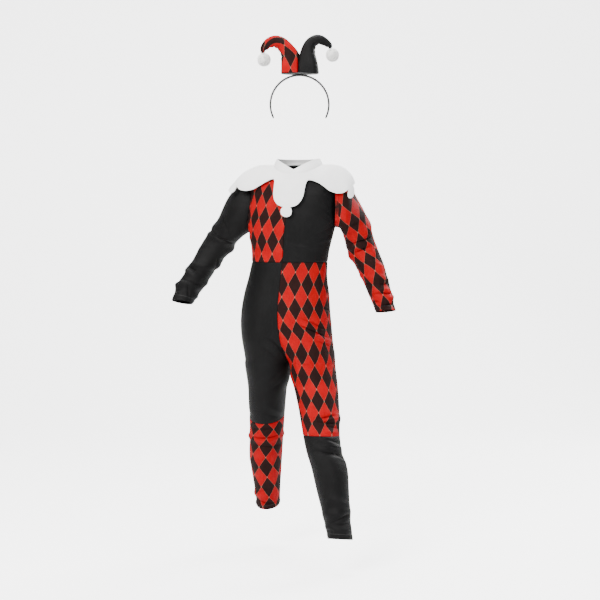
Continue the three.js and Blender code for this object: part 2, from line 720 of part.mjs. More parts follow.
const MATERIALS = {
  blackKnit: { color: 0x1c1c1e, roughness: 0.62, metalness: 0 },
  lozengeCloth: { color: 0xc4181c, roughness: 0.55, metalness: 0 },
  whiteFelt: { color: 0xf1f1ef, roughness: 0.85, metalness: 0 },
  bandCloth: { color: 0x161617, roughness: 0.5, metalness: 0 },
  plush: { color: 0xf6f6f4, roughness: 1, metalness: 0 },
};

function piece(name, geometry, material) {
  const mesh = new THREE.Mesh(geometry, new THREE.MeshStandardMaterial(MATERIALS[material]));
  mesh.name = name;
  geometry.computeVertexNormals();
  return mesh;
}

function suit() {
  const group = new THREE.Group();
  const bodice = bodiceSurface();
  const sleeves = {
    right: sleeveSurface(RIGHT_SLEEVE, RIGHT, RIGHT_SLEEVE_FOLDS),
    left: sleeveSurface(LEFT_SLEEVE, LEFT, LEFT_SLEEVE_FOLDS),
  };
  const legs = {
    right: legSurface(RIGHT_LEG, RIGHT, RIGHT_LEG_FOLDS),
    left: legSurface(LEFT_LEG, LEFT, LEFT_LEG_FOLDS),
  };
  const armPlaces = (surface, folds) => ringPlaces(0, surface.length * 0.6, folds);
  const armhole = (surface, folds) => spaceIn(surface, armPlaces(surface, folds), TUBE_COLUMNS, SEAM);
  const holes = {
    right: armhole(sleeves.right, RIGHT_SLEEVE_FOLDS),
    left: armhole(sleeves.left, LEFT_SLEEVE_FOLDS),
  };
  const bodyPlaces = ringPlaces(0, bodice.length);
  const body = spaceIn(bodice, bodyPlaces, 4 * PANEL_COLUMNS, 0);
  group.add(
    piece("bodice_front_right", bodicePanel(bodice, -90, 0, holes.right), "lozengeCloth"),
    piece("bodice_front_left", bodicePanel(bodice, 0, 90, holes.left), "blackKnit"),
    piece("bodice_back_left", bodicePanel(bodice, 90, 180, holes.left), "blackKnit"),
    piece("bodice_back_right", bodicePanel(bodice, 180, 270, holes.right), "blackKnit"),
    piece("sleeve_right", upperSleeve(sleeves.right, RIGHT_SLEEVE_FOLDS, body), "blackKnit"),
    piece("sleeve_left", upperSleeve(sleeves.left, LEFT_SLEEVE_FOLDS, body), "lozengeCloth"),
    piece("lower_sleeve_right", lowerSleeve(sleeves.right, RIGHT_SLEEVE_FOLDS), "blackKnit"),
    piece("lower_sleeve_left", lowerSleeve(sleeves.left, LEFT_SLEEVE_FOLDS), "lozengeCloth"),
    piece("leg_front_right", legPanel(legs.right, true, RIGHT_LEG_FOLDS), "blackKnit"),
    piece("leg_back_right", legPanel(legs.right, false, RIGHT_LEG_FOLDS), "blackKnit"),
    piece("leg_front_left", legPanel(legs.left, true, LEFT_LEG_FOLDS), "lozengeCloth"),
    piece("leg_back_left", legPanel(legs.left, false, LEFT_LEG_FOLDS), "blackKnit"),
    piece("shin_right", lowerLeg(legs.right, RIGHT_LEG_FOLDS), "lozengeCloth"),
    piece("shin_left", lowerLeg(legs.left, LEFT_LEG_FOLDS), "blackKnit"),
    piece("back_placket", placket(bodice), "blackKnit"),
    piece("collar", collar(), "whiteFelt"),
    piece("neckband", neckband(), "whiteFelt"),
  );
  return group;
}

function headpiece() {
  const group = new THREE.Group();
  group.add(
    piece("headband", headband(), "bandCloth"),
    piece("horn_base", hatBase(), "bandCloth"),
    piece("horn_right", horn(RIGHT_HORN), "lozengeCloth"),
    piece("horn_left", horn(LEFT_HORN), "blackKnit"),
    piece("pompom_right", pompom(RIGHT_HORN), "plush"),
    piece("pompom_left", pompom(LEFT_HORN), "plush"),
  );
  return group;
}

const costume = new THREE.Group();
costume.add(suit(), headpiece());
export default costume;
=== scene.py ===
"""Dresses the jester costume: knit panels with a harlequin check, petal collar, stuffed horns and pompoms.

Every form repeats the solids' own tables in millimetres, on finer grids, and adds the smaller folds.
+Z is up, -Y is the front of the chest and +X is the wearer's left.
"""

import math

import bmesh
import bpy
import numpy as np
from bpy.props import FloatProperty, FloatVectorProperty, PointerProperty
from mathutils import Euler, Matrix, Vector


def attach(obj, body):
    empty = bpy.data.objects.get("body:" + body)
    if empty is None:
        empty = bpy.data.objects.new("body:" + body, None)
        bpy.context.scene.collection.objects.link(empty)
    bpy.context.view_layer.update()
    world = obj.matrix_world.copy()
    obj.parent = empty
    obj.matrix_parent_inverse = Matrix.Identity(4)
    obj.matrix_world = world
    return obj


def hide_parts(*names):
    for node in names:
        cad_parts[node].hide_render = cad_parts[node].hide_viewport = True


bl_info = {
    "name": "Jester Costume",
    "version": (1, 0, 0),
    "blender": (4, 5, 0),
    "location": "3D View > Sidebar > Costume",
    "description": "Builds a motley jester suit with its collar and horned headband round its frame",
    "category": "Add Mesh",
}

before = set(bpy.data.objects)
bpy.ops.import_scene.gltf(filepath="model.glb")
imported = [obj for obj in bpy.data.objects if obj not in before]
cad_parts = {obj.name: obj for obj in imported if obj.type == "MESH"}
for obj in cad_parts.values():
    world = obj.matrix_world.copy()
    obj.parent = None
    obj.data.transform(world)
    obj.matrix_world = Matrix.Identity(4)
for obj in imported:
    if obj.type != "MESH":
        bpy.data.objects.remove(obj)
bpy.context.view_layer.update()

MM = 0.001
RIGHT, LEFT = -1, 1
QUARTER, HALF, ROUND = math.pi / 2, math.pi, 2 * math.pi
GAZE_TURN = math.radians(14)  # the head and the arms face this far to the wearer's left of the chest

LOZENGE_UP = 61  # height of the print's lozenges
KNIT = 1.5  # wall of the suit's stretch cloth
FELT = 2.0  # wall of the collar and the neckband
SEAM = 0.3  # gap between two pieces that are sewn together
GRID = 2.8  # distance between the points round a cloth wall
FINE = 2.0  # and down it, across the folds
CREASE = 1.25  # power of a trough's bell
HEM_BAND = 14.0  # depth of a turned-up hem
EDGE_ROLL, ROLL_WIDTH = 0.9, 1.7  # how far a sewn edge rolls in, and over what distance
PUCKER, PUCKER_REACH = 0.22, 7.0  # height of the gathers at a seam, and the distance over which they fade
RISE_LAP = 0.4  # how far each leg's cloth runs past the middle plane, so the sewn rise has no gap

# The bodice's rings: middle x and y, height at the side, reach to the side, front reach and height, back
# reach and height.
BODICE = [
    [0, 0, 9, 62, 56, -15, 56, 14],
    [-1, 1.5, 6.5, 78, 62.5, -29, 62.5, 4],
    [-3, 2.5, 3, 94, 69.5, -44, 69.5, -8],
    [-4, 3, -3, 107, 74.5, -59, 75, -22],
    [-5, 4, -14, 116, 78, -74, 78, -40],
    [-7, 4.5, -34, 119, 80, -90, 80.5, -62],
    [-9, 5, -62, 118, 82, -108, 82, -86],
    [-13, 5, -95, 117, 83, -130, 82, -112],
    [-18, 5, -132, 115, 81, -152, 80, -140],
    [-20.5, 5, -168, 108, 78, -178, 76, -172],
    [-22, 4.5, -203, 101, 75.5, -206, 74.5, -205],
    [-24, 4, -234, 98, 74, -234, 74, -234],
]
CHEST_SLOPE, BACK_SLOPE = 1.5, 1.9

# The collar's rings, 16.5 mm apart: left reach and height, right reach and height, front, back.
COLLAR_STEP = 16.5
COLLAR = [
    [62.6, 11.3, 62.6, 11.3, 58.2, -14, 58, 15.3],
    [80, 12.5, 80, 13.5, 66, -27, 68, 8],
    [96, 10.5, 97, 12.5, 73.5, -41.5, 76.5, -5],
    [112, 5.5, 114, 8.5, 78.5, -57, 83, -19],
    [125.5, -3.5, 131, 1, 81, -73, 88, -35],
    [136.5, -15.5, 147, -8, 83, -89.5, 91.5, -51],
    [143.5, -31, 160, -20.5, 84.5, -106, 93.5, -67.5],
    [146.5, -47.5, 172.5, -34, 85.5, -122.5, 94, -84],
    [147.5, -64, 185, -46.5, 86, -139, 94, -100.5],
]
# The scalloped edge over a quarter turn: degrees from a petal's middle, reach from the neck seam.
COLLAR_EDGE = [
    [0, 88.5],
    [5.5, 88],
    [10.7, 84],
    [15, 75],
    [18, 64],
    [21.5, 46.5],
    [25.5, 33],
    [28.5, 28],
    [31, 27],
    [35.3, 34.5],
    [39, 47],
    [42.5, 62],
    [45.5, 76],
    [49.5, 85],
    [54.5, 93.5],
    [66, 102.5],
    [90, 104],
]
# Where the evenly cut edge lies as it is worn: worn degrees, cut degrees.
COLLAR_SET = [
    [-180, -180],
    [-137, -149],
    [-76, -90],
    [-63, -66],
    [-54, -54.5],
    [-46, -45.5],
    [-40, -39],
    [-33.5, -31],
    [-3.5, 0],
    [28, 31],
    [38.5, 39],
    [44.5, 45.5],
    [52.5, 54.5],
    [61.5, 66],
    [74.5, 90],
    [128, 149],
    [180, 180],
]
PETAL_TAB = 14
TAB_PAST_EDGE = 11
NECKBAND_NOTCH_UP = -1
NECKBAND_SIDE_UP = 28
NECKBAND_LEAN = 8

# A leg's rings: z, the body's middle plane, the ring's middle from it, half width, half depth, y, pitch.
HIPS = [
    [-234, -24, 0, 98, 74, 4, 0],
    [-272, -29, 1, 101, 76, 5, 0],
    [-312, -33, 6, 104, 80, 8, 0],
    [-352, -36, 15, 100, 84, 10, 0],
    [-392, -36, 26, 92, 86, 12, 0],
    [-430, -33, 38, 80, 85, 12, 0],
    [-462, -28, 49, 68, 80, 11, 0],
    [-484, -24.3, 56.3, 60.5, 75, 9.5, 0],
    [-500, -24, 59.5, 58, 70, 8, 0],
]
RIGHT_LEG = HIPS + [
    [-550, -24, 61, 50.5, 61, 12, 6],
    [-593, -24, 63.5, 48, 56, 17, 12],
    [-633, -24, 66, 46, 51, 24, 20],
    [-682, -24, 70.5, 44, 48.5, 37, 20],
    [-734, -24, 77.5, 43.5, 48, 54, 20],
    [-785, -24, 81, 39, 43, 74, 20],
    [-836, -24, 84, 34, 37, 94, 20],
    [-882, -24, 87, 31, 34, 112, 20],
]
LEFT_LEG = HIPS + [
    [-552, -24, 72, 56, 63, -8, -5],
    [-605, -24, 86, 51.5, 57, -34, -8],
    [-666, -24, 101, 46, 51, -70, -5],
    [-705, -24, 112, 44.5, 49, -86, -6],
    [-745, -24, 128, 45, 48.5, -97, -8],
    [-800, -24, 140, 40, 43, -111, -10],
    [-855, -24, 152, 34, 38, -124, -12],
    [-911, -24, 164, 30.5, 34, -136, -12],
]
KNEE_ROW = 11

# A sleeve's rings, square to the gaze: out, back, z, lean, half width, half depth, pitch.
RIGHT_SLEEVE = [
    [100, 47, -80, 90, 66, 39, 0],
    [118, 50, -82, 88, 65, 41, 0],
    [136.5, 54, -94, 74, 59.5, 43, 5],
    [153, 60, -111, 60, 53, 44, 10],
    [171.5, 69, -139, 38, 41, 42, 18],
    [192, 81, -167, 24, 36, 39, 18],
    [209, 90, -188, 23, 37.5, 38, 10],
    [229, 91, -218.5, 22, 36, 37, 0],
    [254.5, 86, -258, 22, 32, 34, -9],
    [271, 80, -282, 22, 31.5, 33, -12],
    [287.5, 72, -308, 19, 31, 31, -13],
    [302.5, 62, -340, 9, 27, 27, -13],
]
LEFT_SLEEVE = [
    [92, -20, -80, 90, 65, 43, 0],
    [108, -18, -80, 87, 68, 46, 0],
    [121, -13, -94, 79, 63, 47, 3],
    [129, -3, -114, 73, 53, 46, 8],
    [143, 14, -140, 53, 43, 42, 14],
    [154, 28, -169, 31, 38, 38, 16],
    [163, 39, -196, 21, 37, 37, 8],
    [175, 40, -224, 20, 36, 36, 0],
    [190, 36, -256, 20, 33.5, 34, -6],
    [201, 30, -289, 16, 30.5, 31, -8],
    [213, 22, -325, 10, 28, 29, -9],
    [224, 12, -361, 5, 25, 26, -10],
]

# Folds: place down the piece, middle and half length in degrees round it (0 front, 90 outside), drop for
# each radian outwards, half breadth, height (below zero for a trough). The solids have the broad ones.
RIGHT_SLEEVE_FOLDS = [
    [132, 70, 90, -8, 11, 5],
    [240, 20, 120, 10, 11, 4.5],
    [268, 50, 130, -9, 11, 5],
    [300, 20, 150, 8, 11, 5],
    [138, 12, 82, 0, 4, -5],
    [151, 88, 60, -4, 7, 3.5],
    [118, 60, 50, 14, 6, 1.8],
    [104, 20, 50, -20, 7, -1.8],
    [166, -88, 60, 6, 13, 6],
    [200, -78, 45, 8, 6, -3.5],
    [213, -48, 38, -48, 5, -3],
    [222, -94, 45, 0, 8, 3],
    [237, -85, 50, 6, 5, -3.5],
    [188, 60, 50, 24, 7, 1.6],
    [257, 28, 60, -6, 4.5, -4.2],
    [273, 80, 45, 6, 4, -3.4],
    [277, -95, 50, 4, 9, 3.5],
    [293, -8, 75, 2, 4.5, -4.6],
    [297, 62, 40, 8, 4, -3.2],
    [310, 78, 50, -4, 6, 3],
    [309, -70, 45, 4, 4.5, -3.5],
    [318, -12, 28, -50, 4, -3.6],
    [325, 57, 50, 4, 4, -3.2],
    [324, -85, 45, 0, 6, 3],
    [160, 180, 70, 14, 6, 2.5],
    [190, 160, 60, -16, 5, -2.6],
    [262, 170, 80, 10, 5, -3.2],
    [284, 190, 70, -8, 6, 3],
    [306, 170, 80, 8, 5, -3.2],
]
LEFT_SLEEVE_FOLDS = [
    [120, 70, 90, -9, 11, 4.5],
    [148, -20, 110, 10, 11, 4],
    [256, 30, 120, 10, 11, 4.5],
    [292, 20, 140, 9, 11, 4.5],
    [136, 25, 80, 9, 4.5, -6.5],
    [117, -42, 34, 48, 5, -4.4],
    [160, -2, 50, -4, 4.5, -5],
    [172, -86, 55, 6, 12, 5],
    [199, -72, 40, 10, 5, -3.2],
    [180, 60, 40, -24, 6, 2],
    [214, 30, 50, 26, 7, 1.8],
    [98, 55, 45, -20, 6, 2],
    [84, 5, 40, 28, 6, -2],
    [230, -80, 50, 6, 8, 3],
    [255, -58, 42, 8, 4.5, -3.4],
    [269, 48, 60, -4, 5, -5.4],
    [281, 10, 70, 4, 6, 3],
    [293, 20, 85, 6, 5, -6],
    [305, 60, 60, -5, 5, 3],
    [309, -50, 40, 6, 4, -3.2],
    [323, 20, 90, -3, 4.5, -5],
    [335, 0, 110, 3, 4.5, 2.4],
    [150, 170, 70, -12, 5, -3.2],
    [166, 185, 60, 10, 6, 2.6],
    [262, 175, 80, 8, 5, -3.4],
    [287, 160, 80, -8, 5, -3.2],
    [312, 185, 90, 6, 5, -3.2],
]
RIGHT_LEG_FOLDS = [
    [454, 0, 110, 0, 11, 4.5],
    [632, 60, 120, 10, 11, 4],
    [214, -26, 34, -55, 5, -3.4],
    [199, -36, 30, -52, 7, 2],
    [234, -18, 30, -48, 6, -1.6],
    [448, -10, 78, 0, 3.5, -4],
    [439, 5, 60, 8, 5, 1.8],
    [424, 14, 70, 4, 5, -1.8],
    [460, 76, 40, 0, 5, 3.5],
    [462, -92, 40, 0, 5, 2.6],
    [474, -20, 80, -8, 4.5, -2.4],
    [300, -30, 45, 34, 8, 1.6],
    [322, -40, 40, 34, 6, -1.6],
    [380, -50, 50, -26, 6, 1.8],
    [396, -50, 60, -22, 5, -2],
    [396, 70, 45, 12, 6, -1.8],
    [520, 40, 70, 14, 7, 1.2],
    [617, 30, 80, 14, 5, -2.2],
    [650, 10, 120, -6, 5, -2.6],
    [662, 40, 100, 6, 5, 2],
    [120, 120, 50, 30, 8, -1.6],
    [226, 140, 60, -24, 9, 2],
    [244, 140, 60, -22, 5, -2.6],
    [404, 160, 60, 10, 5, -2.6],
    [424, 180, 70, -8, 5, -3],
    [440, 170, 60, 6, 6, 2],
    [560, 170, 60, 16, 7, 1.6],
    [306, -90, 50, 0, 20, 4.5],
]
LEFT_LEG_FOLDS = [
    [196, 50, 60, 26, 12, 4],
    [416, 75, 70, 8, 11, 4],
    [478, 40, 90, 16, 11, 4.5],
    [642, 50, 100, 14, 11, 4],
    [668, 10, 140, -5, 11, 4],
    [176, 42, 42, 42, 4, -4.6],
    [158, 47, 34, 42, 4.5, -2.6],
    [120, 76, 32, 24, 5, -2.4],
    [212, 62, 36, 30, 5, -2],
    [100, 30, 40, 26, 8, 1],
    [415, 35, 50, -8, 4, -4.4],
    [429, 38, 50, 5, 4, -4.6],
    [441, 56, 45, 6, 3.5, -3],
    [422, 62, 40, 0, 4, 2.4],
    [454, 50, 50, 4, 5, 1.8],
    [482, 64, 60, 14, 4.5, -5],
    [496, 62, 60, 12, 5, 2.4],
    [511, 42, 85, 6, 5, -5.4],
    [519, 72, 50, 40, 5, -4],
    [534, 90, 50, 20, 6, 2],
    [560, 50, 50, 20, 7, 1],
    [655, 72, 70, -10, 5, -2.4],
    [677, 34, 76, -16, 5, -6],
    [691, 46, 80, -6, 4.5, -4.4],
    [704, 0, 150, 3, 5, 2.4],
    [230, 140, 60, -24, 9, 2],
    [248, 150, 60, -22, 5, -2.6],
    [440, 160, 60, 10, 5, -2.8],
    [462, 185, 70, -8, 5, -3],
    [500, 170, 60, 10, 6, 2],
    [676, 170, 70, 8, 5, -3],
    [306, -90, 50, 0, 20, 4.5],
]
# Creases of the bodice, which runs round from the front (0) through the wearer's left (90).
BODICE_FOLDS = [
    [150, -84, 34, 34, 5, 2],
    [163, -78, 30, 38, 5, -1.6],
    [178, -72, 34, 30, 6, 1.6],
    [200, -60, 40, 26, 7, 1.4],
    [222, -70, 36, 14, 6, 1.3],
    [246, -50, 40, 8, 5, -1],
    [170, 70, 30, -34, 7, 1.5],
    [196, 62, 34, -26, 7, -1.2],
    [224, 70, 40, -14, 6, 1.2],
    [240, 30, 40, 6, 6, 1],
    [150, 130, 34, 30, 7, 1.4],
    [190, 150, 40, 22, 8, -1.2],
    [230, 140, 44, 12, 6, 1.4],
    [160, 232, 34, -30, 7, 1.4],
    [204, 212, 40, -22, 8, 1.2],
    [246, 220, 44, -8, 6, -1.2],
]

HEAD_ACROSS, HEAD_UP, HEAD_BACK = 3, 165, 4
BAND_RADIUS, BAND_THICKNESS, BAND_WIDTH = 76.5, 3, 13
BAND_REACH = math.radians(118)
HAT_BASE = {"across": 3.8, "up": 241.8, "wide": 47, "deep": 25, "thickness": 2}
# A horn's rings along its middle, square to the gaze: across, up, half width, half depth, squareness.
RIGHT_HORN = [
    [-20.4, 244.2, 23.8, 23, 3],
    [-20.4, 262, 23.6, 23.5, 3],
    [-21, 279, 23, 23, 2.7],
    [-24, 293, 20.8, 21.5, 2.4],
    [-32, 307, 18.2, 19.5, 2.2],
    [-43.5, 318.5, 16.6, 17.8, 2],
    [-58, 324, 15.3, 16, 2],
    [-72, 321.5, 13.2, 13.8, 2],
    [-83.5, 313, 10.6, 11, 2],
    [-89.8, 303, 7.4, 7.6, 2],
    [-89, 295.2, 4.2, 4.2, 2],
]
LEFT_HORN = [
    [28, 244.2, 23.8, 23, 3],
    [27.2, 262, 23, 23.5, 3],
    [25.4, 279, 21, 22, 2.7],
    [24.2, 294, 18.8, 20, 2.4],
    [26.5, 308, 17, 18.4, 2.2],
    [33, 320, 15, 16.4, 2],
    [43.5, 327.4, 13.2, 14.6, 2],
    [55.5, 328.2, 11.9, 12.8, 2],
    [67.5, 322.5, 10.2, 10.6, 2],
    [78.5, 314.5, 7.4, 7.6, 2],
    [81, 306.5, 4.4, 4.4, 2],
]
POMPOM_RADIUS, POMPOM_GAP = 17, 0.4
PILE_CORE, PILE_FROM = 0.86, 0.78  # shares of the radius: the solid core, and where the hairs start
HAIR_THICKNESS = 0.4
HORNS_MEET = 3.6  # across, where the two horns press against each other
HORN_PRINT = (1.1, 1.0)  # the horn's lozenges are a little narrower
PLACKET_WIDTH, PLACKET_THICKNESS = 22, 1.5

# The camera, level with the wearer's ribs and a little down, and the floor under the wearer's feet.
CAMERA_DISTANCE, CAMERA_ASIDE, CAMERA_UP = 3500, 4, -140
CAMERA_FOCAL, PHOTO_SIDE, PHOTO_HORIZON = 1372, 600, 75
FLOOR_UP = -1000
FLOOR_HALF_WIDTH, FLOOR_FRONT, WALL_BACK, WALL_CURVE, WALL_TOP = 6000, -5000, 2200, 1200, 5200.0


def measured(rows, middle):
    """The rows with a last column: the distance along the piece of each ring's middle."""
    rows = np.array(rows, float)
    steps = np.linalg.norm(np.diff(middle(rows), axis=0), axis=1)
    return np.column_stack([rows, np.concatenate([[0], np.cumsum(steps)])])


def between(rows, place):
    """Each column of the rows at each place: a cubic through neighbouring rows, level-handed at the ends."""
    place = np.asarray(place, float)
    i = np.clip(np.searchsorted(rows[:, -1], place, side="right") - 1, 0, len(rows) - 2)
    a, b, c, d = (rows[np.clip(i + k, 0, len(rows) - 1)] for k in (-1, 0, 1, 2))
    t = ((place - b[..., -1]) / (c[..., -1] - b[..., -1]))[..., None]
    start = (c - a) / np.where(i == 0, 1, 2)[..., None]
    end = (d - b) / np.where(i == len(rows) - 2, 1, 2)[..., None]
    rise = c - b
    return b + t * (start + t * (3 * rise - 2 * start - end + t * (start + end - 2 * rise)))


def turned(points, angle):
    """Points turned about the vertical."""
    c, s = math.cos(angle), math.sin(angle)
    x, y, z = np.moveaxis(points, -1, 0)
    return np.stack([x * c - y * s, x * s + y * c, z], axis=-1)


def signed_power(value, power):
    """A power of the value's size, with its sign."""
    return np.sign(value) * np.abs(value) ** power


class Form:
    """A piece's outer surface: plain(angle, place) in millimetres, and the folds that stand out of it.

    facing is 1 where the angle runs from the front to the wearer's left, and -1 where it runs to the right.
    """

    def __init__(self, plain, facing, rows=None, folds=()):
        self.plain = plain
        self.facing = facing
        self.rows = rows
        self.folds = folds
        self.length = None if rows is None else rows[-1, -1]

    def normal(self, angle, place):
        """Cross product of the slopes along and round the plain form."""
        round_ = self.plain(angle + 1e-3, place) - self.plain(angle - 1e-3, place)
        along = self.plain(angle, place + 0.5) - self.plain(angle, place - 0.5)
        normal = np.cross(along, round_) * self.facing
        return normal / np.linalg.norm(normal, axis=-1, keepdims=True)

    def each_fold(self, angle, place):
        """Each fold's height, the points' distances from its line in widths, and its fade to the ends."""
        for at, degrees, reach, slope, width, tall in self.folds:
            run = angle - math.radians(degrees)
            run = run - ROUND * np.round(run / ROUND)
            off = np.abs(place - at - slope * np.sin(run)) / width
            yield tall, off, np.cos(QUARTER * np.clip(run / math.radians(reach), -1, 1)) ** 2

    def fold_height(self, angle, place):
        """Sum of the folds: a bell across each, narrower at the bottom of a trough, fading to its ends."""
        height = np.zeros(np.broadcast(angle, place).shape)
        for tall, off, fade in self.each_fold(angle, place):
            height += tall * np.exp(-(off ** (2 if tall > 0 else CREASE))) * fade
        return height

    def painted_crease_shade(self, angle, place):
        """Painted shade along the creases: up to 1 along the bottom of a deep trough, 0 elsewhere; the knit's
        colour is darkened by it.
        """
        darkening = np.zeros(np.broadcast(angle, place).shape)
        for tall, off, fade in self.each_fold(angle, place):
            if tall < 0:
                darkening = np.maximum(darkening, np.exp(-((off / 0.5) ** 2)) * fade * min(1, -tall / 4))
        return darkening

    def point(self, angle, place, lift=0.0):
        """Points of the folded form, moved out by lift."""
        height = (self.fold_height(angle, place) + lift)[..., None]
        return self.plain(angle, place) + self.normal(angle, place) * height


def shoulder_slope(forward):
    """Share of the drop from the side of a shoulder ring to its front or back: a power of the cosine."""
    return np.abs(forward) ** np.where(forward > 0, CHEST_SLOPE, BACK_SLOPE)


def bodice_form():
    """Ellipses whose front and back drop towards the chest and back at the shoulders."""
    rows = measured(BODICE, lambda r: np.column_stack([r[:, 3], r[:, 2]]))

    def plain(angle, place):
        x, y, z, wide, front, front_up, back, back_up = np.moveaxis(between(rows, place)[..., :8], -1, 0)
        forward = np.cos(angle)
        reach = np.where(forward > 0, front, back)
        up = np.where(forward > 0, front_up, back_up)
        height = z + (up - z) * shoulder_slope(forward)
        return np.stack(np.broadcast_arrays(x + wide * np.sin(angle), y - reach * forward, height), -1)

    return Form(plain, 1, rows, BODICE_FOLDS)


def collar_form():
    """The collar's drape: ovals at each distance from the neck seam, lower in front and back."""
    rows = np.column_stack([np.array(COLLAR, float), COLLAR_STEP * np.arange(len(COLLAR))])

    def plain(angle, place):
        columns = np.moveaxis(between(rows, place)[..., :8], -1, 0)
        left, left_up, right, right_up, front, front_up, back, back_up = columns
        forward, leftward = np.cos(angle), np.sin(angle)
        reach = np.where(forward > 0, front, back)
        up = np.where(forward > 0, front_up, back_up)
        wide = np.where(leftward > 0, left, right)
        side_up = np.where(leftward > 0, left_up, right_up)
        height = side_up + (up - side_up) * shoulder_slope(forward)
        return np.stack(np.broadcast_arrays(wide * leftward, -reach * forward, height), -1)

    return Form(plain, 1, rows)


def limb_form(rows, side, columns, folds, turn=0.0):
    """Tilted ellipses: middle + width x sin(angle) x outward - depth x cos(angle) x backward."""
    place_x, y, z, lean, wide, deep, pitch = columns

    def middle(r):
        return np.column_stack([place_x(r), r[:, y], r[:, z]])

    rows = measured(rows, middle)
    rows = np.column_stack([place_x(rows), rows])

    def plain(angle, place):
        row = between(rows, place)
        tilt = np.radians(row[..., lean + 1]) if lean is not None else 0.0
        back = np.radians(row[..., pitch + 1])
        out = row[..., wide + 1] * np.sin(angle)
        ahead = row[..., deep + 1] * np.cos(angle)
        x = row[..., 0] + side * out * np.cos(tilt)
        return turned(
            np.stack(
                np.broadcast_arrays(
                    x,
                    row[..., y + 1] - ahead * np.cos(back),
                    row[..., z + 1] + out * np.sin(tilt) - ahead * np.sin(back),
                ),
                -1,
            ),
            turn,
        )

    form = Form(plain, side, rows, folds)
    form.middle = lambda place: turned(between(rows, place)[..., [0, y + 1, z + 1]], turn)
    return form


def leg_form(rows, side, folds):
    """A leg: its middle lies out from the body's middle plane."""
    return limb_form(rows, side, (lambda r: r[:, 1] + side * r[:, 2], 5, 0, None, 3, 4, 6), folds)


def sleeve_form(rows, side, folds):
    """A sleeve, set square to the gaze."""
    return limb_form(rows, side, (lambda r: side * r[:, 0], 1, 2, 3, 4, 5, 6), folds, GAZE_TURN)


def leg_inner(form, place):
    """The angle at which a leg's ring meets the middle plane: the rise seam, and the inseam below it."""
    row = between(form.rows, place)
    out, wide = row[..., 3], row[..., 4]
    return -np.arcsin(np.clip((out + RISE_LAP) / wide, 0, 1))


def spaced(length, step, edges=(True, True)):
    """Distances from 0 to length, even in the middle and close together at the sewn edges."""
    close = np.array([0, 0.5, 1.0, 1.6, 2.4, 3.6, 5.2])
    start = close if edges[0] else np.array([0.0])
    end = length - close[::-1] if edges[1] else np.array([length])
    count = max(2, int(round((end[0] - start[-1]) / step)))
    return np.concatenate([start[:-1], np.linspace(start[-1], end[0], count + 1), end[1:]])


def add_object(name, data):
    """A new object in the scene that shows the data."""
    made = bpy.data.objects.new(name, data)
    bpy.context.scene.collection.objects.link(made)
    return made


def keep_on_points(mesh, key, values):
    """A named value for each point of a mesh, for its material."""
    layer = mesh.attributes.new(key, "FLOAT", "POINT")
    layer.data.foreach_set("value", np.ascontiguousarray(values, dtype=np.float32).ravel())


def put_mesh(name, points, faces, material, corner_uv=None, attributes=None):
    """A new piece from arrays of points in millimetres and four-sided faces."""
    mesh = bpy.data.meshes.new(name)
    mesh.from_pydata((points * MM).tolist(), [], faces.tolist())
    if corner_uv is not None:
        layer = mesh.uv_layers.new(name="cloth")
        layer.data.foreach_set("uv", np.ascontiguousarray(corner_uv, dtype=np.float32).ravel())
    for key, values in (attributes or {}).items():
        keep_on_points(mesh, key, values)
    mesh.polygons.foreach_set("use_smooth", np.ones(len(faces), bool))
    mesh.materials.append(material)
    return add_object(name, mesh)


def grid_faces(rows, columns, offset, forward, wraps):
    """The four-sided faces of a grid of points, and the grid corners that they use."""
    i, j = np.meshgrid(np.arange(rows - 1), np.arange(columns if wraps else columns - 1), indexing="ij")
    corners = [(i, j), (i + 1, j), (i + 1, j + 1), (i, j + 1)]
    if not forward:
        corners = corners[::-1]
    index = np.stack([offset + a * columns + b % columns for a, b in corners], -1).reshape(-1, 4)
    where = np.stack([np.stack([a, b], -1) for a, b in corners], -2).reshape(-1, 4, 2)
    return index, where


def strip_faces(first, second, forward):
    """Faces between two equally long rows of points."""
    quads = np.stack([first[:-1], second[:-1], second[1:], first[1:]], -1)
    return quads if forward else quads[:, ::-1]


def wall_piece(name, outer, inner, material, forward, wraps, print_at, attributes=None):
    """A closed wall between an outer and an inner grid. print_at is the cloth's own place of each point."""
    rows, columns = outer.shape[:2]
    count = rows * columns
    outside, where = grid_faces(rows, columns, 0, forward, wraps)
    inside, where_in = grid_faces(rows, columns, count, not forward, wraps)
    index = np.arange(count).reshape(rows, columns)
    edges = []
    ends = np.concatenate([index, index[:, :1]], 1) if wraps else index
    edges.append(strip_faces(ends[0], ends[0] + count, not forward))
    edges.append(strip_faces(ends[-1], ends[-1] + count, forward))
    if not wraps:
        edges.append(strip_faces(index[:, 0], index[:, 0] + count, forward))
        edges.append(strip_faces(index[:, -1], index[:, -1] + count, not forward))
    faces = np.concatenate([outside, inside, *edges])
    uv = [print_at[w[..., 0], w[..., 1]] for w in (where, where_in)]
    flat = print_at[:, :columns].reshape(-1, 2)
    uv += [flat[e % count] for e in edges]
    points = np.concatenate([outer.reshape(-1, 3), inner.reshape(-1, 3)])
    both = {k: np.concatenate([v.ravel(), v.ravel()]) for k, v in (attributes or {}).items()}
    return put_mesh(name, points, faces, material, np.concatenate(uv).reshape(-1, 2) * MM, both)


def running_total(points, axis):
    """Distance covered along a grid's rows or columns, from 0 at the start."""
    steps = np.linalg.norm(np.diff(points, axis=axis), axis=2)
    return np.insert(np.cumsum(steps, axis), 0, 0, axis)


def cloth_places(outer, row):
    """Each point's place on the cut cloth: distance round, and distance down from one ring."""
    down = running_total(outer, 0)
    return np.stack([running_total(outer, 1), down - down[row]], -1)


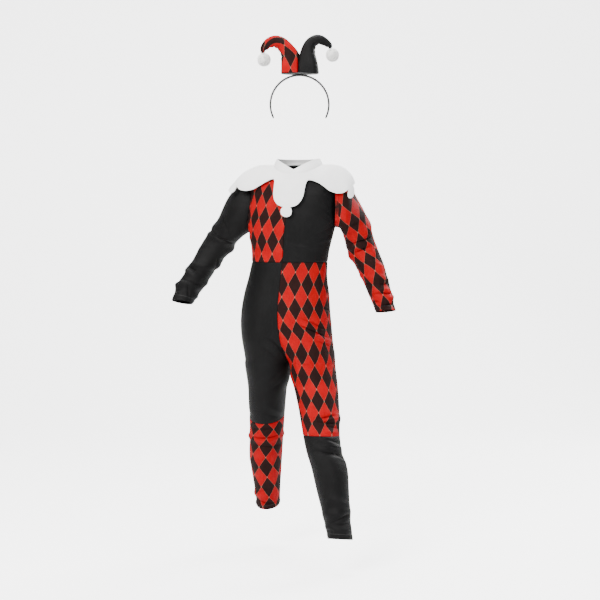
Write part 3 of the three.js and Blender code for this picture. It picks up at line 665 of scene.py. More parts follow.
def tube_places(form, outer, places, column, straight_above):
    """The same for a tube: distance down its middle line, and round it by the angle from one column.

    Above one place the line is taken to run straight on, as on the cap of a sleeve.
    """
    first = int(np.searchsorted(places, straight_above))
    cap = np.clip((straight_above - places) / 40, 0, 1)[:, None]
    places = np.maximum(places, places[first])
    ahead = form.middle(np.minimum(places + 12, form.length)) - form.middle(places - 12)
    ahead /= np.linalg.norm(ahead, axis=1, keepdims=True)
    off = outer - form.middle(places)[:, None]
    down = (off * ahead[:, None]).sum(-1)
    off -= down[..., None] * ahead[:, None]
    reach = np.linalg.norm(off, axis=-1)
    reach = cap * reach + (1 - cap) * reach.mean(1, keepdims=True)
    front = off[:, column] / np.linalg.norm(off[:, column], axis=1, keepdims=True)
    front[:first] = front[first]
    side = np.cross(ahead, front)
    turn = np.arctan2((off * side[:, None]).sum(-1), (off * front[:, None]).sum(-1))
    turn = np.unwrap(turn, axis=1)
    turn -= ROUND * np.round(turn[:, column : column + 1] / ROUND)
    turn *= np.sign(turn[:, -1] - turn[:, 0])[:, None]
    return np.stack([turn * reach, places[:, None] + down], -1)


def cloth_wall(name, form, places, low, high, width, material, **options):
    """A knit wall over a form, from angle low(place) to high(place), or all round.

    The sewn edges roll in by a little, and the hem is a doubled band. A red lozenge's middle lies phase
    millimetres from the angle centre. drift says how far round the print wanders at each place, and
    red_rows where the rows of red lozenges lie, as the cloth is stretched and gathered. At a rise seam the
    edges don't roll in, because the two legs meet there at a slant.
    """
    wraps = options.get("wraps", False)
    sewn = options.get("sewn", (True, True))
    shares = spaced(width, GRID) / width
    angle = low(places)[:, None] + (high(places) - low(places))[:, None] * shares
    place = np.repeat(places[:, None], len(shares), 1)
    plain = form.plain(angle, place)
    round_run = np.linalg.norm(np.diff(plain, axis=1), axis=2)
    round_run = np.concatenate([np.zeros((len(places), 1)), np.cumsum(round_run, 1)], 1)
    from_side = np.minimum(round_run, round_run[:, -1:] - round_run)
    from_start = place - places[0] if sewn[0] else np.full_like(place, 99.0)
    from_end = places[-1] - place
    seam = np.minimum(np.minimum(from_side, from_start), from_end if sewn[1] else 99.0)
    normal = form.normal(angle, place)
    roll = -EDGE_ROLL * np.exp(-((seam / ROLL_WIDTH) ** 2))
    if "rise" in options:
        roll *= 1 - np.clip(-form.facing * normal[..., 0], 0, 1)
    pucker = PUCKER * np.exp(-seam / PUCKER_REACH) * np.sin(place / 2.9 + 3.0 * np.sin(place / 11.0))
    lift = roll + pucker
    if not sewn[1]:
        lift = lift + hem_lift(from_end)
    if "shape" in options:
        lift = lift + options["shape"](angle, place)
    outer = form.point(angle, place, lift)
    inner = outer - normal * KNIT
    if wraps:
        column = int(np.argmin(np.abs(angle[0] - options["centre"])))
        printed = tube_places(form, outer, places, column, options.get("straight_above", 0))
    else:
        printed = cloth_places(outer, -1 if options.get("from_bottom") else 0)
        middle = [np.interp(options["centre"], *pair) for pair in zip(angle, printed[..., 0])]
        wander = np.array(options.get("drift", ((0, 0), (1, 0))), float)
        printed[..., 0] -= np.array(middle)[:, None] + np.interp(places, *wander.T)[:, None]
    if "red_rows" in options:
        red_rows = options["red_rows"]
        printed[..., 1] = np.interp(printed[..., 1], red_rows, LOZENGE_UP * np.arange(len(red_rows)))
    printed = (printed - options.get("phase", (0, 0))) / (options.get("pull", 1), 1)
    # painted shade along the bottoms of the troughs, for the material to darken the colour by
    painted_crease_shade = form.painted_crease_shade(angle, place)
    if wraps:
        outer, inner, seam = outer[:, :-1], inner[:, :-1], seam[:, :-1]
        from_end, painted_crease_shade = from_end[:, :-1], painted_crease_shade[:, :-1]
    hem = (from_end if not sewn[1] else from_end * 0 + 99) * MM
    layers = {"seam": seam * MM, "hem": hem, "painted_crease_shade": painted_crease_shade}
    return wall_piece(name, outer, inner, material, form.facing > 0, wraps, printed, layers)


def hem_lift(from_end):
    """A turned-up hem: a raised band with a stitched groove at its top."""
    band = 1 / (1 + np.exp((from_end - HEM_BAND) / 0.6))
    groove = np.exp(-(((from_end - HEM_BAND + 1.5) / 1.1) ** 2))
    edge = np.exp(-((from_end / 1.2) ** 2))
    return 0.7 * band - 0.9 * groove - 0.5 * edge


def nearest(points, samples, normals):
    """Signed distance of each point from a sampled surface: along the nearest sample's normal."""
    best = np.empty(len(points))
    for start in range(0, len(points), 4000):
        part = points[start : start + 4000]
        apart = ((part[:, None, :] - samples[None]) ** 2).sum(-1)
        k = apart.argmin(1)
        best[start : start + 4000] = ((part - samples[k]) * normals[k]).sum(-1)
    return best


def sampled(form, start, end, step):
    """Points and normals over a whole form."""
    places, angles = np.meshgrid(np.arange(start, end, step), np.linspace(0, ROUND, 90)[:-1], indexing="ij")
    return form.point(angles, places).reshape(-1, 3), form.normal(angles, places).reshape(-1, 3)


def armhole_sink(other, start, end):
    """A lift for cloth near another form: it dips and puckers where the armhole seam pulls it in."""
    samples, normals = sampled(other, start, end, 5.0)

    def lift(form, angle, place):
        points = form.plain(angle, place)
        away = np.abs(nearest(points.reshape(-1, 3), samples, normals)).reshape(angle.shape)
        ripple = 0.4 * np.exp(-away / 9) * np.sin(points[..., 2] / 2.6 + points[..., 1] / 3.7)
        return -0.7 * np.exp(-((away / 2.2) ** 2)) + ripple

    return lift


def space_solid(name, form, places, columns, lift):
    """The closed space inside a form, for cutting its neighbours."""
    angle = np.linspace(0, ROUND, columns + 1)[:-1]
    angle, place = np.meshgrid(angle, places)
    points = form.point(angle, place, lift).reshape(-1, 3)
    rows = len(places)
    faces, _ = grid_faces(rows, columns, 0, form.facing > 0, True)
    mesh = bpy.data.meshes.new(name)
    first, last = list(range(columns)), list(range((rows - 1) * columns, rows * columns))
    ends = [first, last[::-1]] if form.facing > 0 else [first[::-1], last]
    mesh.from_pydata((points * MM).tolist(), [], faces.tolist() + ends)
    return add_object(name, mesh)


def cut_away(piece, cutters):
    """Takes the cutters' space out of a piece, for good."""
    for cutter in cutters:
        cut = piece.modifiers.new("armhole", "BOOLEAN")
        cut.operation = "DIFFERENCE"
        cut.solver = "MANIFOLD"
        cut.object = cutter
    apply_modifiers(piece)


def apply_modifiers(piece):
    """Makes the result of a piece's modifiers its own mesh."""
    graph = bpy.context.evaluated_depsgraph_get()
    mesh = bpy.data.meshes.new_from_object(piece.evaluated_get(graph))
    piece.modifiers.clear()
    piece.data = mesh


def finish_piece(piece, slot, *nodes):
    """Binds a piece to the frame: it rides on the one body and stands for its solids."""
    piece.data.set_sharp_from_angle(angle=math.radians(50))
    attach(piece, "root")
    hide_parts(*nodes)


# Materials


def new_material(name):
    """An empty node material with its shader and output."""
    material = bpy.data.materials.new(name)
    material.use_nodes = True
    return material, material.node_tree.nodes["Principled BSDF"]


class Nodes:
    """Short names for adding and linking nodes in one tree."""

    def __init__(self, tree):
        self.tree = tree

    def add(self, kind, inputs=None, **settings):
        node = self.tree.nodes.new(kind)
        for key, value in settings.items():
            setattr(node, key, value)
        for key, value in (inputs or {}).items():
            self.feed(node.inputs[key], value)
        return node

    def feed(self, socket, value):
        if isinstance(value, bpy.types.NodeSocket):
            self.tree.links.new(value, socket)
        else:
            socket.default_value = value

    def math(self, operation, a, b=None, c=None):
        given = {i: v for i, v in enumerate((a, b, c)) if v is not None}
        return self.add("ShaderNodeMath", given, operation=operation).outputs[0]

    def mix(self, factor, a, b):
        inputs = {"Factor": factor, 6: a, 7: b}
        return self.add("ShaderNodeMix", inputs, data_type="RGBA").outputs[2]

    def step(self, value, low, high):
        """0 below low, 1 above high, smooth between."""
        inputs = {"Value": value, "From Min": low, "From Max": high}
        return self.add("ShaderNodeMapRange", inputs, interpolation_type="SMOOTHSTEP").outputs[0]

    def spread(self, value, low, high, start=0.0, end=1.0):
        """low where the value is start, high where it is end."""
        inputs = {"Value": value, "From Min": start, "From Max": end, "To Min": low, "To Max": high}
        return self.add("ShaderNodeMapRange", inputs).outputs[0]

    def shaded(self, colour, tone):
        """A colour times a tone."""
        return self.add("ShaderNodeVectorMath", {0: colour, "Scale": tone}, operation="SCALE").outputs[0]

    def noise(self, place, scale, detail=3.0):
        return self.add("ShaderNodeTexNoise", {"Vector": place, "Scale": scale, "Detail": detail}).outputs

    def object_place(self):
        return self.add("ShaderNodeTexCoord").outputs["Object"]

    def bumped(self, height, strength, distance):
        """A normal from a height."""
        inputs = {"Height": height, "Strength": strength, "Distance": distance}
        return self.add("ShaderNodeBump", inputs).outputs[0]


def node_group(name, sockets):
    """A shader node group with the named sockets. Returns it, its helper, its inputs and its outputs."""
    group = bpy.data.node_groups.new(name, "ShaderNodeTree")
    for label, way, kind, default in sockets:
        made = group.interface.new_socket(label, in_out=way, socket_type=kind)
        if default is not None:
            made.default_value = default
    nodes = Nodes(group)
    return group, nodes, nodes.add("NodeGroupInput").outputs, nodes.add("NodeGroupOutput").inputs


def knit_group():
    """Stretch knit: rows of V-shaped loops as a height, with cloudy wear of the dye as a shade."""
    group, n, given, out = node_group(
        "Stretch Knit",
        [
            ("Cloth", "INPUT", "NodeSocketVector", None),
            ("Loop", "INPUT", "NodeSocketFloat", 0.0011),
            ("Height", "OUTPUT", "NodeSocketFloat", None),
            ("Shade", "OUTPUT", "NodeSocketFloat", None),
        ],
    )
    axes = n.add("ShaderNodeSeparateXYZ", {0: given["Cloth"]}).outputs
    column = n.math("DIVIDE", axes[0], given["Loop"])
    across = n.math("ABSOLUTE", n.math("SUBTRACT", n.math("FRACT", column), 0.5))
    row = n.math("DIVIDE", axes[1], n.math("MULTIPLY", given["Loop"], 0.8))
    slant = n.math("ADD", row, n.math("MULTIPLY", across, 1.6))
    loop = n.math("ABSOLUTE", n.math("SUBTRACT", n.math("FRACT", slant), 0.5))
    wale = n.math("SINE", n.math("MULTIPLY", across, 2 * math.pi))
    height = n.math("ADD", n.math("MULTIPLY", loop, 1.2), n.math("ABSOLUTE", wale))
    n.feed(out["Height"], height)
    cloud = n.noise(given["Cloth"], 26.0, 5.0)
    fine = n.noise(given["Cloth"], 900.0, 2.0)
    shade = n.math("ADD", n.math("MULTIPLY", cloud[0], 0.5), n.math("MULTIPLY", fine[0], 0.5))
    n.feed(out["Shade"], shade)
    return group


def harlequin_group():
    """Harlequin check: lozenges in turn red and black, a pale line between them, a small pale lozenge at
    each crossing. With a = x / width + y / height and b = x / width - y / height, each lozenge is a unit
    square of (a, b)."""
    group, n, given, out = node_group(
        "Harlequin Check",
        [
            ("Cloth", "INPUT", "NodeSocketVector", None),
            ("Width", "INPUT", "NodeSocketFloat", 0.033),
            ("Height", "INPUT", "NodeSocketFloat", 0.061),
            ("Line", "INPUT", "NodeSocketFloat", 0.0006),
            ("Motif", "INPUT", "NodeSocketFloat", 0.05),
            ("Red", "INPUT", "NodeSocketColor", (0.6, 0.02, 0.01, 1)),
            ("Black", "INPUT", "NodeSocketColor", (0.02, 0.02, 0.02, 1)),
            ("Pale", "INPUT", "NodeSocketColor", (0.8, 0.75, 0.65, 1)),
            ("Color", "OUTPUT", "NodeSocketColor", None),
            ("Ink", "OUTPUT", "NodeSocketFloat", None),
        ],
    )
    blur = n.noise(given["Cloth"], 420.0, 2.0)
    waver = n.add("ShaderNodeVectorMath", {0: blur[1], 1: (0.5, 0.5, 0.5)}, operation="SUBTRACT")
    waver = n.add("ShaderNodeVectorMath", {0: waver.outputs[0], "Scale": 0.0008}, operation="SCALE")
    cloth = n.add("ShaderNodeVectorMath", {0: given["Cloth"], 1: waver.outputs[0]}, operation="ADD")
    axes = n.add("ShaderNodeSeparateXYZ", {0: cloth.outputs[0]}).outputs
    x = n.math("DIVIDE", axes[0], given["Width"])
    y = n.math("DIVIDE", axes[1], given["Height"])
    sides = [n.math("ADD", n.math("ADD", x, y), 0.5), n.math("ADD", n.math("SUBTRACT", x, y), 0.5)]
    cells = [n.math("FLOOR", s) for s in sides]
    half_sum = n.math("MULTIPLY", n.math("ADD", *cells), 0.5)
    odd = n.math("GREATER_THAN", n.math("FRACT", half_sum), 0.25)
    # distance from the nearest side of the lozenge, as a share of a unit
    offs = [n.math("ABSOLUTE", n.math("SUBTRACT", n.math("FRACT", s), 0.5)) for s in sides]
    gaps = [n.math("SUBTRACT", 0.5, off) for off in offs]
    share = n.math("DIVIDE", given["Line"], given["Width"])
    near = n.math("MINIMUM", *gaps)
    line_from, line_to = (n.math("MULTIPLY", share, edge) for edge in (0.75, 1.25))
    line = n.math("SUBTRACT", 1.0, n.step(near, line_from, line_to))
    corner = n.math("MAXIMUM", *gaps)
    motif = n.math("SUBTRACT", 1.0, n.step(corner, n.math("MULTIPLY", given["Motif"], 0.9), given["Motif"]))
    pale = n.math("MAXIMUM", line, motif)
    ground = n.mix(odd, given["Red"], given["Black"])
    n.feed(out["Color"], n.mix(pale, ground, given["Pale"]))
    n.feed(out["Ink"], n.math("MAXIMUM", n.math("SUBTRACT", 1.0, odd), pale))
    return group


def stitch_group():
    """Sewing near an edge: a groove on the seam line and a row of stitches, from the seam distance."""
    group, n, given, out = node_group(
        "Edge Stitching",
        [
            ("Cloth", "INPUT", "NodeSocketVector", None),
            ("Edge", "INPUT", "NodeSocketFloat", None),
            ("From Edge", "INPUT", "NodeSocketFloat", 0.0125),
            ("Stitch", "INPUT", "NodeSocketFloat", 0.0028),
            ("Thread", "OUTPUT", "NodeSocketFloat", None),
            ("Groove", "OUTPUT", "NodeSocketFloat", None),
        ],
    )
    axes = n.add("ShaderNodeSeparateXYZ", {0: given["Cloth"]}).outputs
    off = n.math("ABSOLUTE", n.math("SUBTRACT", given["Edge"], given["From Edge"]))
    dash = n.math("FRACT", n.math("DIVIDE", n.math("ADD", axes[0], axes[1]), given["Stitch"]))
    on = n.math("MULTIPLY", n.math("GREATER_THAN", dash, 0.22), n.math("LESS_THAN", off, 0.0004))
    n.feed(out["Thread"], on)
    n.feed(out["Groove"], n.math("SUBTRACT", 1.0, n.step(off, 0.0, 0.0016)))
    return group


def fibre_group():
    """Pressed fibres: long and short noise laid across each other, as a height and a shade."""
    group, n, given, out = node_group(
        "Pressed Fibres",
        [
            ("Place", "INPUT", "NodeSocketVector", None),
            ("Scale", "INPUT", "NodeSocketFloat", 900.0),
            ("Height", "OUTPUT", "NodeSocketFloat", None),
            ("Shade", "OUTPUT", "NodeSocketFloat", None),
        ],
    )
    long_way = n.add("ShaderNodeMapping", {"Vector": given["Place"], "Scale": (1.0, 0.18, 0.6)})
    cross = {"Vector": given["Place"], "Scale": (0.2, 1.0, 0.7), "Rotation": (0.4, 0.2, 0.7)}
    cross_way = n.add("ShaderNodeMapping", cross)
    first = n.noise(long_way.outputs[0], given["Scale"], 4.0)
    second = n.noise(cross_way.outputs[0], given["Scale"], 4.0)
    n.feed(out["Height"], n.math("ADD", first[0], second[0]))
    cloud = n.noise(given["Place"], 18.0, 3.0)
    n.feed(out["Shade"], cloud[0])
    return group


def use_group(nodes, group, inputs):
    """The outputs of a node that holds the group."""
    node = nodes.tree.nodes.new("ShaderNodeGroup")
    node.node_tree = group
    for key, value in inputs.items():
        nodes.feed(node.inputs[key], value)
    return node.outputs


def cloth_uv(nodes):
    """The cloth's own place of a point, from the piece's UV map."""
    return nodes.add("ShaderNodeUVMap", uv_map="cloth").outputs[0]


def kept_value(nodes, name):
    """A value kept on the piece's points."""
    return nodes.add("ShaderNodeAttribute", attribute_name=name).outputs["Fac"]


def suit_material(name, groups, settings, printed):
    """Knit cloth, plain or printed with the harlequin check, stitched along its hems."""
    material, shader = new_material(name)
    n = Nodes(material.node_tree)
    cloth = cloth_uv(n)
    knit = use_group(n, groups["knit"], {"Cloth": cloth})
    stitch = use_group(n, groups["stitch"], {"Cloth": cloth, "Edge": kept_value(n, "hem")})
    if printed:
        check = use_group(
            n,
            groups["harlequin"],
            {
                "Cloth": cloth,
                "Width": settings.lozenge_width,
                "Height": settings.lozenge_height,
                "Line": settings.lattice_width,
                "Red": (*settings.red, 1),
                "Black": (*settings.print_black, 1),
                "Pale": (*settings.pale, 1),
            },
        )
        ground = check["Color"]
        roughness = n.step(check["Ink"], 0.0, 1.0)
        rough = n.spread(roughness, 0.62, 0.5)
    else:
        ground = settings.black
        rough = n.spread(knit["Shade"], 0.44, 0.56)
    spread = 0.34 if printed else 0.5
    tone = n.spread(knit["Shade"], 1 - spread, 1 + spread * 0.6, 0.3, 0.7)
    # painted shade: the colour darkens to 0.45 within about 2 mm of a sewn edge, where the edge rolls in
    seam = n.step(kept_value(n, "seam"), 0.0002, 0.0022)
    tone = n.math("MULTIPLY", tone, n.spread(seam, 0.45, 1.0))
    # painted shade: the colour darkens to a quarter along the bottoms of deep troughs
    painted_crease_shade = kept_value(n, "painted_crease_shade")
    tone = n.math("MULTIPLY", tone, n.spread(painted_crease_shade, 1.0, 0.25))
    scaled = n.shaded(ground, tone)
    thread = n.math("MULTIPLY", stitch["Thread"], 0.6)
    colour = n.mix(thread, scaled, (0.06, 0.06, 0.06, 1))
    n.feed(shader.inputs["Base Color"], colour)
    n.feed(shader.inputs["Roughness"], rough)
    shader.inputs["Sheen Weight"].default_value = 0.004 if printed else 0.012
    shader.inputs["Sheen Roughness"].default_value = 0.35
    shader.inputs["Specular IOR Level"].default_value = 0.04 if printed else 0.1
    loops = n.math("MULTIPLY", knit["Height"], 0.5)
    raised = n.math("SUBTRACT", loops, n.math("MULTIPLY", stitch["Groove"], 1.4))
    wrinkle = n.noise(cloth, 70.0, 3.0)
    raised = n.math("ADD", raised, n.math("MULTIPLY", wrinkle[0], 2.2))
    bump = n.bumped(raised, 0.55, 0.0004)
    n.feed(shader.inputs["Normal"], bump)
    return material


def felt_material(groups, settings):
    """White bonded cloth for the collar: matt, with fibres and a stitched edge."""
    material, shader = new_material("white_bonded_cloth")
    n = Nodes(material.node_tree)
    place = n.object_place()
    fibres = use_group(n, groups["fibres"], {"Place": place, "Scale": 1100.0})
    edge = kept_value(n, "seam")
    sewing = {"Cloth": cloth_uv(n), "Edge": edge, "From Edge": 0.004, "Stitch": 0.003}
    stitch = use_group(n, groups["stitch"], sewing)
    tone = n.spread(fibres["Shade"], 0.95, 1.03, 0.3, 0.7)
    grain = n.spread(fibres["Height"], 0.96, 1.02, 0.7, 1.3)
    tone = n.math("MULTIPLY", tone, grain)
    # painted shade: the felt is 6% darker along the stitched groove
    tone = n.math("MULTIPLY", tone, n.math("SUBTRACT", 1.0, n.math("MULTIPLY", stitch["Groove"], 0.06)))
    colour = n.shaded(settings.felt, tone)
    n.feed(shader.inputs["Base Color"], colour)
    n.feed(shader.inputs["Roughness"], n.spread(fibres["Shade"], 0.78, 0.92))
    shader.inputs["Sheen Weight"].default_value = 0.25
    shader.inputs["Specular IOR Level"].default_value = 0.25
    height = n.math("SUBTRACT", fibres["Height"], n.math("MULTIPLY", stitch["Groove"], 1.2))
    bump = n.bumped(height, 0.4, 0.0004)
    n.feed(shader.inputs["Normal"], bump)
    return material


def band_material(groups):
    """Black ribbon wound round the headband and its base."""
    material, shader = new_material("black_ribbon")
    n = Nodes(material.node_tree)
    place = n.object_place()
    fibres = use_group(n, groups["fibres"], {"Place": place, "Scale": 1500.0})
    tone = n.spread(fibres["Height"], 0.6, 1.4, 0.7, 1.3)
    colour = n.shaded((0.012, 0.012, 0.013), tone)
    n.feed(shader.inputs["Base Color"], colour)
    n.feed(shader.inputs["Roughness"], n.spread(fibres["Shade"], 0.42, 0.55))
    shader.inputs["Sheen Weight"].default_value = 0.02
    bump = n.bumped(fibres["Height"], 0.5, 0.0003)
    n.feed(shader.inputs["Normal"], bump)
    return material


def plush_material(settings):
    """White pile, a little darker towards the roots of the hairs and on the core: painted shade deep in the
    pile.
    """
    material, shader = new_material("white_plush")
    n = Nodes(material.node_tree)
    tip = kept_value(n, "tip")
    lock = kept_value(n, "lock")
    # painted shade: 6% darker at the roots and on the core, where the tip value is 0
    tone = n.spread(tip, 0.94, 1.0)
    tone = n.math("MULTIPLY", tone, n.spread(lock, 0.94, 1.04))
    colour = n.shaded(settings.plush, tone)
    n.feed(shader.inputs["Base Color"], colour)
    n.feed(shader.inputs["Roughness"], n.spread(lock, 0.75, 0.95))
    shader.inputs["Sheen Weight"].default_value = 0.4
    return material


def floor_material(glow):
    """A pale studio floor with a faint cloudiness. Like a lit backdrop it is brighter than what it lights."""
    material, shader = new_material("pale_floor")
    n = Nodes(material.node_tree)
    place = n.object_place()
    cloud = n.noise(place, 1.2, 3.0)
    n.feed(shader.inputs["Base Color"], n.mix(cloud[0], (0.86, 0.86, 0.86, 1), (0.9, 0.9, 0.9, 1)))
    shader.inputs["Roughness"].default_value = 0.75
    shader.inputs["Emission Color"].default_value = (1, 1, 1, 1)
    seen = n.add("ShaderNodeLightPath").outputs["Is Camera Ray"]
    n.feed(shader.inputs["Emission Strength"], n.math("MULTIPLY", seen, glow))
    return material


MATERIALS = {}


def material_named(name):
    """The costume's materials, made once from the current settings."""
    if not MATERIALS:
        suit = bpy.context.scene.costume_suit
        trim = bpy.context.scene.costume_trim
        groups = {
            "knit": knit_group(),
            "harlequin": harlequin_group(),
            "stitch": stitch_group(),
            "fibres": fibre_group(),
        }
        MATERIALS["plain"] = suit_material("black_stretch_knit", groups, suit, False)
        MATERIALS["printed"] = suit_material("harlequin_stretch_knit", groups, suit, True)
        MATERIALS["felt"] = felt_material(groups, trim)
        MATERIALS["band"] = band_material(groups)
        MATERIALS["plush"] = plush_material(trim)
    return MATERIALS[name]


# Pieces of the suit

PRINT_SLOTS = {"plain": "black_knit", "printed": "lozenge_cloth"}
# Places of the rows of red lozenges on the left sleeve, the left thigh and the right shin.
SLEEVE_ROWS = (-80, -20, 39, 99, 171, 232, 299, 362, 425)
THIGH_ROWS = (-35, 24, 87, 146, 199, 265, 327, 389, 450)
SHIN_ROWS = (365, 408, 451, 504, 566, 632, 695, 758)
# How far the thigh's print wanders outwards on its way down: place, distance.
THIGH_DRIFT = ((24, 3), (86, -3), (146, -6), (206, -3), (270, -14), (330, -18), (400, -18))


def at_angle(angle):
    """An edge of a cloth that keeps to one angle all the way down."""
    return lambda places: np.full(len(places), angle)


def make_bodice():
    """Four panels from neck to waist, with the armholes cut out."""
    bodice = bodice_form()
    sleeves = {
        RIGHT: sleeve_form(RIGHT_SLEEVE, RIGHT, RIGHT_SLEEVE_FOLDS),
        LEFT: sleeve_form(LEFT_SLEEVE, LEFT, LEFT_SLEEVE_FOLDS),
    }
    cutters, sinks = {}, {}
    for side, sleeve in sleeves.items():
        places = np.arange(0, sleeve.length * 0.6, 6.0)
        cutters[side] = space_solid(f"armhole_{side}", sleeve, places, 72, SEAM)
        sinks[side] = armhole_sink(sleeve, 0, sleeve.length * 0.5)
    places = SEAM / 2 + spaced(bodice.length - SEAM, FINE)
    half_gap = SEAM / 2 / 90
    for name, start, end, side, cloth, centre, phase in (
        ("bodice_front_right", -90, 0, RIGHT, "printed", 0, (-12.5, -22)),
        ("bodice_front_left", 0, 90, LEFT, "plain", 0, (0, 0)),
        ("bodice_back_left", 90, 180, LEFT, "plain", 180, (0, 0)),
        ("bodice_back_right", 180, 270, RIGHT, "plain", 180, (0, 0)),
    ):
        piece = cloth_wall(
            f"cloth_{name}",
            bodice,
            places,
            at_angle(math.radians(start) + half_gap),
            at_angle(math.radians(end) - half_gap),
            170,
            material_named(cloth),
            centre=math.radians(centre),
            phase=phase,
            from_bottom=True,
            shape=lambda angle, place, s=side: sinks[s](bodice, angle, place),
        )
        cut_away(piece, [cutters[side]])
        finish_piece(piece, PRINT_SLOTS[cloth], name)
        declare_sheet(piece, name)
    for solid in cutters.values():
        bpy.data.objects.remove(solid)


def make_sleeves():
    """Two set-in sleeves, cut to the bodice at the armholes."""
    bodice = bodice_form()
    body = space_solid("body", bodice, np.linspace(0, bodice.length, 90), 120, 0.0)
    sink = armhole_sink(bodice, 0, bodice.length)
    for name, rows, side, folds, cloth, phase in (
        ("sleeve_right", RIGHT_SLEEVE, RIGHT, RIGHT_SLEEVE_FOLDS, "plain", (0, 0)),
        ("sleeve_left", LEFT_SLEEVE, LEFT, LEFT_SLEEVE_FOLDS, "printed", (16.5, 0)),
    ):
        form = sleeve_form(rows, side, folds)
        places = spaced(form.length, FINE, (False, True))
        piece = cloth_wall(
            f"cloth_{name}",
            form,
            places,
            at_angle(-QUARTER),
            at_angle(-QUARTER + ROUND),
            230,
            material_named(cloth),
            wraps=True,
            sewn=(False, False),
            centre=math.radians(8),
            phase=phase,
            straight_above=115,
            red_rows=SLEEVE_ROWS,
            shape=lambda angle, place, f=form: sink(f, angle, place),
        )
        cut_away(piece, [body])
        finish_piece(piece, PRINT_SLOTS[cloth], name, f"lower_{name}")
        declare_sheet(piece, name)
    bpy.data.objects.remove(body)


def knee_place(form):
    """Distance down the leg to the knee seam."""
    return form.rows[KNEE_ROW, -1]


def make_legs():
    """Front and back leg panels, waist to knee, with a curved rise seam and an inseam."""
    for side_name, rows, side, folds, front_cloth in (
        ("right", RIGHT_LEG, RIGHT, RIGHT_LEG_FOLDS, "plain"),
        ("left", LEFT_LEG, LEFT, LEFT_LEG_FOLDS, "printed"),
    ):
        form = leg_form(rows, side, folds)
        places = SEAM / 2 + spaced(knee_place(form) - SEAM, FINE)
        gap = SEAM / 2 / 60
        inner = lambda p, f=form: leg_inner(f, p)
        side_seam = at_angle(QUARTER)
        for part, low, high, centre in (
            ("front", lambda p: inner(p) + gap, lambda p: side_seam(p) - gap, 50),
            ("back", lambda p: side_seam(p) + gap, lambda p: HALF - inner(p) - gap, 145),
        ):
            name = f"leg_{part}_{side_name}"
            cloth = front_cloth if part == "front" else "plain"
            piece = cloth_wall(
                f"cloth_{name}",
                form,
                places,
                low,
                high,
                165,
                material_named(cloth),
                centre=math.radians(centre),
                drift=THIGH_DRIFT,
                red_rows=THIGH_ROWS,
                rise=True,
            )
            finish_piece(piece, PRINT_SLOTS[cloth], name)
            declare_sheet(piece, name)


def make_lower_legs():
    """Lower legs from the knee seam to the hem."""
    for name, rows, side, folds, cloth in (
        ("shin_right", RIGHT_LEG, RIGHT, RIGHT_LEG_FOLDS, "printed"),
        ("shin_left", LEFT_LEG, LEFT, LEFT_LEG_FOLDS, "plain"),
    ):
        form = leg_form(rows, side, folds)
        start = knee_place(form) + SEAM / 2
        places = start + spaced(form.length - start, FINE)
        piece = cloth_wall(
            f"cloth_{name}",
            form,
            places,
            at_angle(-QUARTER),
            at_angle(-QUARTER + ROUND),
            260,
            material_named(cloth),
            wraps=True,
            sewn=(True, False),
            centre=math.radians(10),
            pull=1.1,
            red_rows=SHIN_ROWS,
        )
        finish_piece(piece, PRINT_SLOTS[cloth], name)
        declare_sheet(piece, name)


def make_placket():
    """The strip over the centre-back opening."""
    bodice = bodice_form()
    bodice.folds = ()
    start = bodice.rows[1, -1]
    places = start + spaced(bodice.length - SEAM - start, FINE)
    half = lambda p: PLACKET_WIDTH / 2 / between(bodice.rows, p)[:, 3]
    piece = cloth_wall(
        "cloth_back_placket",
        bodice,
        places,
        lambda p: HALF - half(p),
        lambda p: HALF + half(p),
        PLACKET_WIDTH,
        material_named("plain"),
        centre=HALF,
        shape=lambda angle, place: np.full(angle.shape, PLACKET_THICKNESS + SEAM + 0.9),
    )
    finish_piece(piece, "black_knit", "back_placket")
    declare_sheet(piece, "back_placket")


# Flat cuts: width and length of the cloth a piece is cut from, and its own area, in metres.
CUTS = {
    "bodice_front_right": (0.19, 0.28, 0.0338),
    "bodice_front_left": (0.19, 0.28, 0.0322),
    "bodice_back_left": (0.19, 0.29, 0.033),
    "bodice_back_right": (0.19, 0.29, 0.0335),
    "sleeve_right": (0.26, 0.4, 0.078),
    "sleeve_left": (0.26, 0.4, 0.0745),
    "leg_front_right": (0.2, 0.42, 0.067),
    "leg_back_right": (0.22, 0.42, 0.064),
    "leg_front_left": (0.2, 0.44, 0.072),
    "leg_back_left": (0.22, 0.44, 0.0745),
    "shin_right": (0.3, 0.26, 0.067),
    "shin_left": (0.3, 0.27, 0.066),
    "back_placket": (0.024, 0.25, 0.0055),
    "collar": (0.375, 0.345, 0.0478),
    "neckband": (0.38, 0.04, 0.0071),
}


def outer_area(piece):
    """Half the surface of a thin wall."""
    areas = np.empty(len(piece.data.polygons))
    piece.data.polygons.foreach_get("area", areas)
    return areas.sum() / 2


def declare_sheet(piece, name):
    """Prints the stated area of a cloth piece's flat cut beside the area of the piece as made."""
    width, length, area = CUTS[name]
    print(f"cut {name}: stated {area}, made {outer_area(piece):.4f}")


# Collar


def petal_reach(angle):
    """How far the collar reaches from the neck seam at an angle: the scalloped edge, as worn."""
    worn, cut = np.array(COLLAR_SET, float).T
    cut_angle = np.abs(np.interp(np.degrees(angle), worn, cut))
    edge = np.array(COLLAR_EDGE, float)
    rows = np.column_stack([edge[:, 1], edge[:, 0]])
    return between(rows, np.where(cut_angle > 90, 180 - cut_angle, cut_angle))[..., 0]


def tab_middles():
    return [math.radians(worn) for worn, cut in COLLAR_SET if cut % 90 == 0 and worn > -180]


def collar_points(form, angle, place):
    """Points of the collar's upper face, with soft waves towards its edge."""
    wave = 1.6 * np.sin(5 * angle + 0.6) + 1.1 * np.sin(9 * angle + 2.0) + 0.5 * np.sin(17 * angle)
    hollow = -1.6 * np.exp(-(((place - 16) / 9) ** 2)) * (0.7 + 0.5 * np.sin(7 * angle + 1.0))
    lift = 1.2 + hollow * np.exp(-((place / 60) ** 4)) + wave * np.clip(place / 90, 0, 1) ** 1.5
    return form.point(angle, place, lift)


